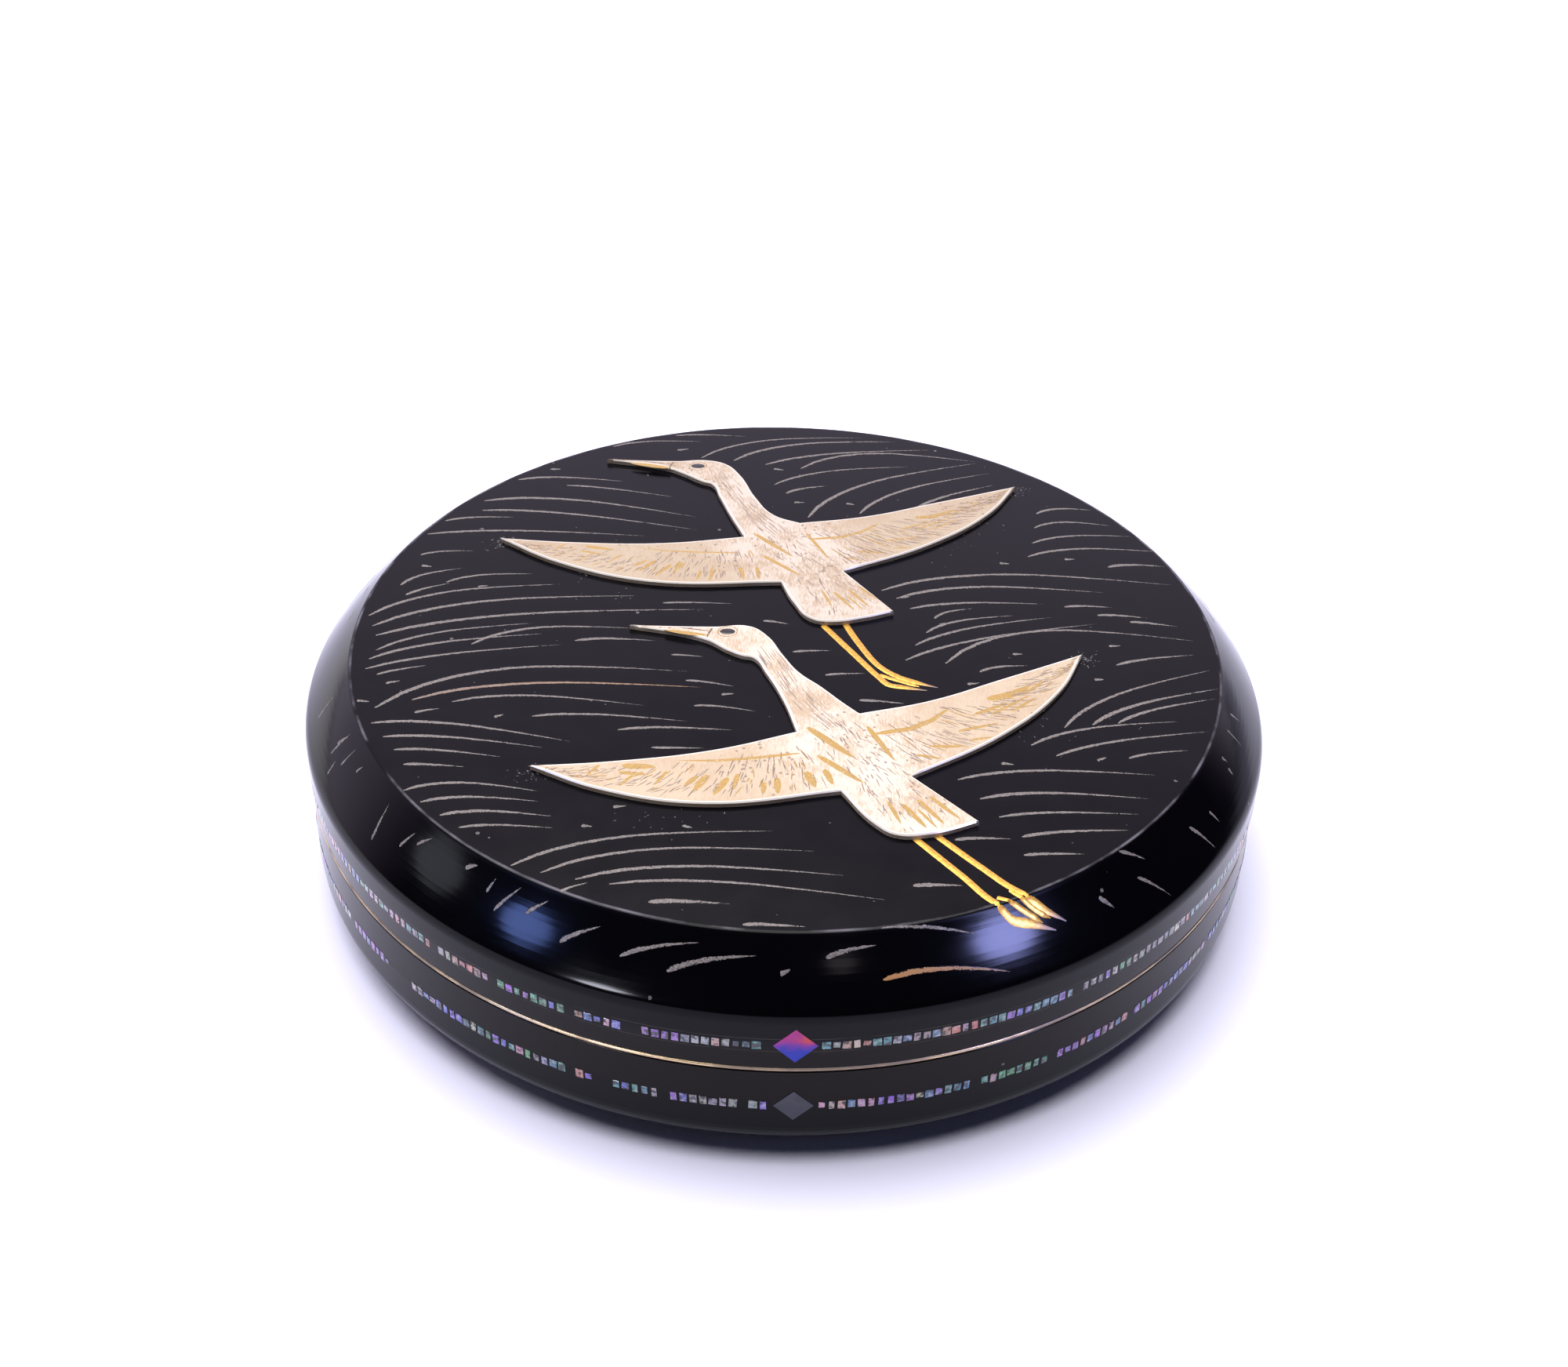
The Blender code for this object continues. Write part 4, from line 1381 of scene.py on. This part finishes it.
# corner of the mouth, split of the beak and gold wedge: points, width, darkness and gilding
BEAK_CUTS = (
    (((19.9, -1.35), (19.5, -1.85), (18.9, -2.4)), 0.20, 1.0, 0.0),
    (((19.7, -1.8), (21.4, -3.85)), 0.15, 1.0, 0.0),
    (((19.2, -2.2), (20.4, -3.6), (21.6, -5.0)), 0.42, 0.2, 1.0),
)
EYE_RING = (0.72, 0.84)


def cut_face(name, heron):
    """Short cuts in a ring round the eye, and the cuts of the beak."""
    ahead, right = EYE_SPOTS[name]
    laid = []
    for angle in range(0, 360, 30):
        a, b = math.radians(angle), math.radians(angle + 34)
        ring_spots = [(ahead + EYE_RING[0] * math.cos(t), right + EYE_RING[1] * math.sin(t))
                      for t in (a, (a + b) / 2, b)]
        laid += cut(heron, ring_spots, 0.12, 0.5, 0.5, held=False)
    for spots, width, dark, gilt in BEAK_CUTS:
        laid += cut(heron, np.array(spots) + heron["face_shift"], width, dark, gilt, held=False)
    return laid


for name, heron in HERONS.items():
    model_eye(name, heron)
    settle(join_marks(name + "_face", cut_face(name, heron)), CUT_FINISH)

# %% [markdown]
# ## Gold legs
# The legs are drawn in raised gold lacquer, straight on the lid: two thin lines from under the tail, a
# knot of two loops for the foot, and long toes that fade to grey. The front bird's toes run over the
# ridge on to the bevel, so they are laid on the lid's own surface like the powder strokes.

# %% Legs
GOLD_LINE = 0.82 * MM
TOE_LINE = 0.7 * GOLD_LINE
GOLD_DEEP, GOLD_LIGHT = (0.44, 0.22, 0.03), (0.64, 0.36, 0.055)
GOLD_FADED = (0.14, 0.11, 0.10)
GOLD_RISE = 0.085 * MM
# two legs, then the extra toes: points of x and y on the lid in millimetres
LEGS = {
    "rear_heron": (
        ((3.1, 1.7), (5.4, -2.3), (7.45, -5.8), (8.05, -6.7), (9.4, -7.1), (11.2, -7.5)),
        ((4.9, 2.2), (5.9, -0.7), (8.15, -4.95), (9.2, -5.8), (10.6, -6.5), (12.1, -7.1)),
        ((7.5, -5.4), (8.4, -5.9), (9.4, -6.4), (10.6, -7.0)),
    ),
    "front_heron": (
        ((8.7, -25.6), (12.0, -30.0), (14.3, -33.0), (15.2, -33.6), (16.6, -33.5), (18.6, -33.3)),
        ((10.3, -25.3), (13.5, -29.1), (15.6, -31.4), (16.4, -32.0), (17.5, -32.4), (19.4, -32.6)),
        ((14.3, -32.3), (15.1, -32.6), (16.1, -32.9), (17.6, -33.2)),
        ((15.3, -31.5), (16.0, -32.2), (16.9, -32.6), (18.2, -32.8)),
    ),
}


def make_gold():
    material, tree, shader = new_material("gold_lacquer", 0.34, metallic=0.55)
    grain = noise(tree, place(tree), 4200.0, 3.0)
    fade_end = attribute(tree, "fade")
    colour = blend_colours(tree, fade(tree, grain, 0.35, 0.65), GOLD_DEEP, GOLD_LIGHT)
    colour = blend_colours(tree, fade(tree, fade_end, 0.84, 1.0), colour, GOLD_FADED)
    feed_surface(shader, colour, grain, 0.006 * MM, 0.6)
    return material


GOLD = make_gold()
for name, lines in LEGS.items():
    laid = []
    for number, line in enumerate(lines):
        width, end = (GOLD_LINE, 1.0) if number < 2 else (TOE_LINE, 0.5)
        path = np.array(line) * MM
        laid.append(lay_mark(wire_mark, path, width, GOLD_RISE, on_lid, {"fade": (0.0, end)}))
    settle(join_marks(name + "_legs", laid), GOLD, 60.0)

# %% [markdown]
# ## Shell rows
# Tiny squares of shell are set in two rows round the wall, in short groups with gaps. One square is
# modelled: a cube pressed flat, its outer edges bevelled. The copies vary in width and height, and each
# has its own tint, as shell shifts from pink to violet, blue and green. Neighbours cut from one flake
# share a tint.

# %% Shell finish
def make_shell():
    material, tree, shader = new_material("shell", 0.22, Coat_Weight=0.3, Coat_Roughness=0.08)
    tint = add_node(tree, "ShaderNodeAttribute", attribute_name="tint").outputs["Color"]
    cloud = noise(tree, place(tree), 2600.0, 3.0)
    colour = blend_colours(tree, fade(tree, cloud, 0.52, 0.74, 0.0, 0.7), tint, (0.46, 0.42, 0.46))
    colour = blend_colours(tree, fade(tree, cloud, 0.50, 0.38), colour, (0.010, 0.010, 0.016))
    feed_surface(shader, colour, cloud, 0.006 * MM, 0.6)
    return material


SHELL = make_shell()
CHIP_PITCH = 0.72 * MM
CHIP_WIDTH = 0.60 * MM
CHIP_HEIGHT = 0.80 * MM
CHIP_DEPTH = 0.10 * MM
CHIP_EDGE, CHIP_CROWN = 0.02 * MM, 0.012 * MM
SHELL_LIFT = SHELL_PROUD * 0.8
TINTS = ((0.42, 0.34, 0.35), (0.20, 0.19, 0.21), (0.24, 0.09, 0.46), (0.08, 0.11, 0.42), (0.05, 0.24, 0.13),
         (0.05, 0.20, 0.24), (0.42, 0.15, 0.12), (0.28, 0.26, 0.28), (0.38, 0.19, 0.27))


def model_chip():
    deselect_all()
    bpy.ops.mesh.primitive_cube_add(size=1.0, location=(0.0, 0.0, 0.0))
    chip = bpy.context.object
    chip.name = "shell_chip"
    edit(chip)
    bpy.ops.mesh.select_all(action="SELECT")
    bpy.ops.transform.resize(value=(CHIP_WIDTH, CHIP_DEPTH, CHIP_HEIGHT))
    bpy.ops.mesh.select_all(action="DESELECT")
    leave_edit()
    for face in chip.data.polygons:
        face.select = face.normal.y < -0.9
    edit(chip)
    bpy.ops.mesh.select_mode(type="FACE")
    bpy.ops.mesh.inset(thickness=CHIP_EDGE, depth=CHIP_CROWN)
    leave_edit()
    return chip


chip = model_chip()
print("a chip has %d faces" % len(chip.data.polygons))

# %% [markdown]
# The chips are bent to the wall as they are set, in groups of two to eight with gaps between. The rows
# run all the way round, from one side of the diamond to the other.

# %% Set the rows
def wall_radius(height):
    """The wall leans in a little from its middle to the mouth, in the lid and in the base."""
    if height >= LID_EDGE_Z:
        lean = max(0.0, 1 - (height - LID_EDGE_Z) / LID_LEAN_HEIGHT)
    else:
        lean = max(0.0, 1 - (BASE_HEIGHT - height) / BASE_LEAN_HEIGHT)
    return WALL_RADIUS - MOUTH_LEAN * lean


def set_chip(angle, height, width_share, height_share, tilt, tint):
    """A copy of the chip in the wall, at an angle from the front."""
    shape = points_of(chip) * (width_share, 1.0, height_share)
    turned = shape.copy()
    turned[:, 0] = shape[:, 0] * math.cos(tilt) - shape[:, 2] * math.sin(tilt)
    turned[:, 2] = shape[:, 0] * math.sin(tilt) + shape[:, 2] * math.cos(tilt)
    middle = wall_radius(height) + SHELL_LIFT - CHIP_DEPTH / 2 - CHIP_CROWN
    around = np.arctan2(turned[:, 0], middle) + angle
    reach = middle - turned[:, 1]
    laid = np.column_stack([reach * np.sin(around), -reach * np.cos(around), turned[:, 2] + height])
    made = copy_of(chip, laid)
    colours = made.data.color_attributes.new("tint", "FLOAT_COLOR", "POINT")
    colours.data.foreach_set("color", np.tile((*tint, 1.0), len(laid)).astype(np.float32))
    return made


def set_row(name, height, diamond_half, share_filled, draw):
    start = (diamond_half + CHIP_PITCH * 0.8) / WALL_RADIUS
    places = int((2 * math.pi - 2 * start) * WALL_RADIUS / CHIP_PITCH)
    laid, left_in_group, tint = [], 5, TINTS[0]
    for number in range(places + 1):
        if left_in_group <= 0:
            left_in_group = draw.randint(2, 8)
            tint = draw.choice(TINTS)
            if draw.random() > share_filled:
                left_in_group = -draw.randint(1, 2)
        if left_in_group < 0:
            left_in_group += 1
            continue
        left_in_group -= 1
        own = tint if draw.random() < 0.6 else draw.choice(TINTS)
        own = tuple(channel * draw.uniform(0.7, 1.25) for channel in own)
        angle = start + number * CHIP_PITCH / WALL_RADIUS
        low = draw.uniform(0.55, 1.0) if draw.random() < 0.3 else draw.uniform(0.88, 1.05)
        laid.append(set_chip(angle, height + draw.uniform(-0.04, 0.04) * MM, draw.uniform(0.65, 1.08), low,
                             draw.uniform(-0.07, 0.07), own))
    row = join_marks(name, laid)
    print("%s: %d chips" % (name, len(laid)))
    return settle(row, SHELL, 20.0)


LID_DIAMOND = 3.2 * MM
BASE_DIAMOND = 2.9 * MM
set_row("lid_shell_row", LID_ROW_Z, LID_DIAMOND / 2, 0.80, random.Random(5))
set_row("base_shell_row", BASE_ROW_Z, BASE_DIAMOND / 2, 0.72, random.Random(8))

# %% [markdown]
# ## Shell diamonds
# At the front a larger diamond breaks each row. The upper one glows magenta above and blue below, the
# lower one is plain slate grey. Each is a small grid turned on its corner, wrapped round the wall and
# given a thickness.

# %% Diamonds
DIAMOND_GRID = 10
DIAMOND_THICKNESS = 0.12 * MM


def make_diamond_shell(name, upper, lower, warm, middle_z, half):
    material, tree, shader = new_material(name, 0.25, IOR=1.3)
    spot = place(tree)
    across, _, height = split(tree, spot)
    cloud = noise(tree, spot, 900.0, 3.0)
    drift = times(tree, minus(tree, cloud, 0.5), half * 0.9)
    level = plus(tree, height, drift)
    above = fade(tree, level, middle_z - half * 0.35, middle_z + half * 0.45)
    colour = blend_colours(tree, above, lower, upper)
    side = plus(tree, across, times(tree, drift, 1.5))
    to_right = fade(tree, side, 0.0, half * 0.7)
    glow = times(tree, to_right, fade(tree, level, middle_z, middle_z + half * 0.5))
    colour = blend_colours(tree, glow, colour, warm)
    feed_surface(shader, colour, cloud, 0.006 * MM, 0.5)
    return material


def model_diamond(name, node, size, height, material):
    deselect_all()
    bpy.ops.mesh.primitive_grid_add(x_subdivisions=DIAMOND_GRID, y_subdivisions=DIAMOND_GRID,
                                    size=size / math.sqrt(2), location=(0.0, 0.0, 0.0),
                                    rotation=(math.pi / 2, 0.0, 0.0))
    diamond = bpy.context.object
    diamond.name = name
    bpy.ops.object.transform_apply(location=True, rotation=True, scale=True)
    edit(diamond)
    bpy.ops.mesh.select_all(action="SELECT")
    bpy.ops.transform.rotate(value=math.pi / 4, orient_axis="Y", center_override=(0.0, 0.0, 0.0))
    leave_edit()
    flat = points_of(diamond)
    radius = WALL_RADIUS + SHELL_LIFT
    around = flat[:, 0] / radius
    laid = np.column_stack([radius * np.sin(around), -radius * np.cos(around), flat[:, 2] + height])
    move_points(diamond, laid)
    diamond.data.update()
    if diamond.data.polygons[0].normal.y > 0:
        diamond.data.flip_normals()
    thick = diamond.modifiers.new("Thickness", "SOLIDIFY")
    thick.thickness = DIAMOND_THICKNESS
    thick.offset = -1.0
    select_only(diamond)
    bpy.ops.object.modifier_apply(modifier=thick.name)
    settle(diamond, material, 30.0)
    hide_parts(node)


GLOWING = ((0.40, 0.035, 0.22), (0.020, 0.035, 0.40), (0.60, 0.07, 0.08))
SLATE = ((0.060, 0.060, 0.078), (0.050, 0.050, 0.068), (0.044, 0.044, 0.060))
glowing_shell = make_diamond_shell("glowing_shell", *GLOWING, LID_ROW_Z, LID_DIAMOND / 2)
slate_shell = make_diamond_shell("slate_shell", *SLATE, BASE_ROW_Z, BASE_DIAMOND / 2)
model_diamond("lid_shell_diamond", "lid_diamond", LID_DIAMOND, LID_ROW_Z, glowing_shell)
model_diamond("base_shell_diamond", "base_diamond", BASE_DIAMOND, BASE_ROW_Z, slate_shell)

# %% [markdown]
# ## Dust and glue
# Specks of old glue and dust lie round the wing tips and along the trailing edges. They are laid as very
# short marks, from a fixed seed.

# %% Dust
DUST_FINISH = make_plain_finish("old_dust", (0.20, 0.19, 0.21), (0.07, 0.065, 0.075), 0.75)
# specks at a wing tip, along a trailing edge and scattered over the lid
TIP_SPECKS, EDGE_SPECKS, LOOSE_SPECKS = 46, 26, 60
SPECK_HEIGHT = 0.03 * MM
LOOSE_WIDTH = 0.10 * MM
LOOSE_RADIUS = 35.0
KEPT_RADIUS = 35.3


def lay_dust(draw):
    laid = []
    for heron in HERONS.values():
        places = [(side, 1.0, 1.0, 1.5, TIP_SPECKS) for side in ("left", "right")]
        places += [(side, 0.55, 1.08, 5.0, EDGE_SPECKS) for side in ("left", "right")]
        for side, out, back, spread, count in places:
            middle = wing_spot(heron, side, out, back)
            for number in range(count):
                spot = middle + np.array((draw.gauss(-0.3, spread / 3), draw.gauss(0.0, spread / 2)))
                x, y = to_lid(heron, [spot])[0] / MM
                if math.hypot(x, y) > KEPT_RADIUS:
                    continue
                half, angle = draw.uniform(0.04, 0.13), draw.uniform(0, math.pi)
                step = np.array((math.cos(angle), math.sin(angle))) * half
                path = np.array([(x, y) - step, (x, y) + step]) * MM
                width = draw.uniform(0.05, 0.12) * MM
                laid.append(lay_mark(graver_mark, path, width, SPECK_HEIGHT, on_lid))
    for number in range(LOOSE_SPECKS):
        angle, radius = draw.uniform(0, 2 * math.pi), LOOSE_RADIUS * math.sqrt(draw.random())
        x, y = radius * math.cos(angle), radius * math.sin(angle)
        path = np.array([(x - 0.07, y), (x + 0.07, y + draw.uniform(-0.05, 0.05))]) * MM
        laid.append(lay_mark(graver_mark, path, LOOSE_WIDTH, SPECK_HEIGHT, on_lid))
    return laid


settle(join_marks("dust_specks", lay_dust(random.Random(3))), DUST_FINISH)
for blank in (brush_mark, graver_mark, wire_mark, chip):
    bpy.data.objects.remove(blank, do_unlink=True)

# %% [markdown]
# ## Table and light
# The box stands on a pale sheet, painted darker far to the right as painted shade and paler far to the
# left as painted light, both for what the black mirrors. Polished black shows what is round it, so the
# light is built for the reflections: the world is bright low behind the box and dark in front and high
# up, one large soft lamp stands high at the back left, and small faint lamps in front give the bevel its
# soft patches.

# %% Table
SHEET_COLOUR = (0.80, 0.80, 0.985)
SHEET_RIGHT_PAINTED_SHADE = (0.34, 0.34, 0.45)
SHEET_LEFT_PAINTED_LIGHT = (0.94, 0.94, 0.995)


def make_sheet():
    material, tree, shader = new_material("pale_sheet", 0.9)
    cloud = noise(tree, place(tree), 40.0, 2.0)
    pale = tuple(channel * 0.985 for channel in SHEET_COLOUR)
    colour = blend_colours(tree, cloud, SHEET_COLOUR, pale)
    across = split(tree, place(tree))[0]
    # Far to the right the sheet is painted darker: painted shade that the wall mirrors.
    colour = blend_colours(tree, fade(tree, across, 0.115, 0.19), colour, SHEET_RIGHT_PAINTED_SHADE)
    # Far to the left the sheet is painted paler: painted light that the bevel mirrors.
    colour = blend_colours(tree, fade(tree, across, -0.06, -0.16), colour, SHEET_LEFT_PAINTED_LIGHT)
    feed(shader, "Base Color", colour)
    return material


deselect_all()
bpy.ops.mesh.primitive_plane_add(size=6.0, location=(0.0, 1.2, 0.0))
sheet = bpy.context.object
sheet.name = "table_sheet"
sheet.data.materials.append(make_sheet())
print("sheet is %.0f m wide" % sheet.dimensions.x)

# %% [markdown]
# The world has no picture: its light is a smooth function of direction. The small lamps light nothing
# but their own mirror images on the bevel, so their diffuse light is switched off.

# %% World and lamps
def make_world():
    world = bpy.data.worlds.new("soft_room")
    bpy.context.scene.world = world
    world.use_nodes = True
    tree = world.node_tree
    direction = add_node(tree, "ShaderNodeTexCoord").outputs["Generated"]
    across, behind, up = split(tree, direction)
    low = fade(tree, up, 0.85, 0.45)
    leftwards = minus(tree, behind, times(tree, across, WORLD_LEAN))
    back = fade(tree, leftwards, 0.15, 0.60)
    share = times(tree, low, back)
    background = tree.nodes["Background"]
    tree.links.new(blend_colours(tree, share, WORLD_DARK, WORLD_BRIGHT), background.inputs["Color"])
    background.inputs["Strength"].default_value = 1.0


def add_lamp(name, azimuth, elevation, distance, size, watts, colour):
    """A round lamp that looks at the box. Azimuth 0 is in front, and 90 is to the right."""
    a, e = math.radians(azimuth), math.radians(elevation)
    towards = Vector((math.sin(a) * math.cos(e), -math.cos(a) * math.cos(e), math.sin(e)))
    data = bpy.data.lights.new(name, "AREA")
    data.shape = "DISK"
    data.size = size
    data.energy = watts
    data.color = colour
    lamp = bpy.data.objects.new(name, data)
    lamp.location = towards * distance + Vector((0.0, 0.0, TOP_Z))
    lamp.rotation_euler = towards.to_track_quat("Z", "Y").to_euler()
    bpy.context.scene.collection.objects.link(lamp)
    return lamp


WORLD_BRIGHT = (1.50, 1.32, 1.72)
WORLD_DARK = (0.012, 0.012, 0.020)
WORLD_LEAN = 0.22
GLOW_DISTANCE = 0.55
make_world()
add_lamp("high_lamp", -150, 80, 0.9, 1.2, 22.5, (1.0, 0.985, 0.98))
# azimuth, elevation, width, strength and colour of the small soft lights that the bevel mirrors
GLOWS = {
    "left_window": (-59, 28.5, 0.10, 0.85, (0.23, 0.36, 1.0)),
    "right_window": (51, 33, 0.12, 2.9, (0.39, 0.43, 1.0)),
    "left_glow": (-83, 23, 0.12, 0.14, (0.85, 0.88, 1.0)),
    "front_glow": (13, 40, 0.05, 0.022, (0.95, 0.85, 0.95)),
    "streak_glow": (-37.2, 17.5, 0.10, 1.5, (0.85, 0.87, 1.0)),
}
for name, (azimuth, elevation, size, watts, colour) in GLOWS.items():
    add_lamp(name, azimuth, elevation, GLOW_DISTANCE, size, watts, colour).visible_diffuse = False
print("%d glows on the bevel" % len(GLOWS))

# %% [markdown]
# ## Camera
# The camera looks down on the box from the front. Its lens, distance and tilt follow from the way the
# circles of the box narrow in the photograph. The box is turned a little under it, which is the same as
# turning the camera.

# %% Camera
LENS = 46.8
SIGHT_ELEVATION = math.radians(36.0)
SIGHT_DISTANCE = 176.08 * MM
SIGHT_SHIFT = (-0.11 * MM, 3.99 * MM)
CAMERA_ROLL = math.radians(1.655)
CAMERA_TURN = math.radians(-2.05)


def add_camera():
    right = Vector((1.0, 0.0, 0.0))
    sight = Vector((0.0, math.cos(SIGHT_ELEVATION), -math.sin(SIGHT_ELEVATION)))
    up = right.cross(sight)
    place_at = -sight * SIGHT_DISTANCE
    place_at += right * SIGHT_SHIFT[0]
    place_at += up * SIGHT_SHIFT[1]
    place_at += Vector((0.0, 0.0, BASE_HEIGHT))
    roll = Matrix.Rotation(-CAMERA_ROLL, 3, sight)
    axes = Matrix((roll @ right, roll @ up, -sight)).transposed()
    data = bpy.data.cameras.new("view")
    data.lens = LENS
    data.sensor_width = 36.0
    data.clip_start = 0.01
    data.clip_end = 20.0
    camera = bpy.data.objects.new("view", data)
    camera.matrix_world = Matrix.Rotation(CAMERA_TURN, 4, "Z") @ Matrix.Translation(place_at) @ axes.to_4x4()
    bpy.context.scene.collection.objects.link(camera)
    bpy.context.scene.camera = camera
    return camera


camera = add_camera()
bpy.context.scene.view_settings.view_transform = "Standard"
print("camera at", [round(value / MM, 1) for value in camera.matrix_world.translation])
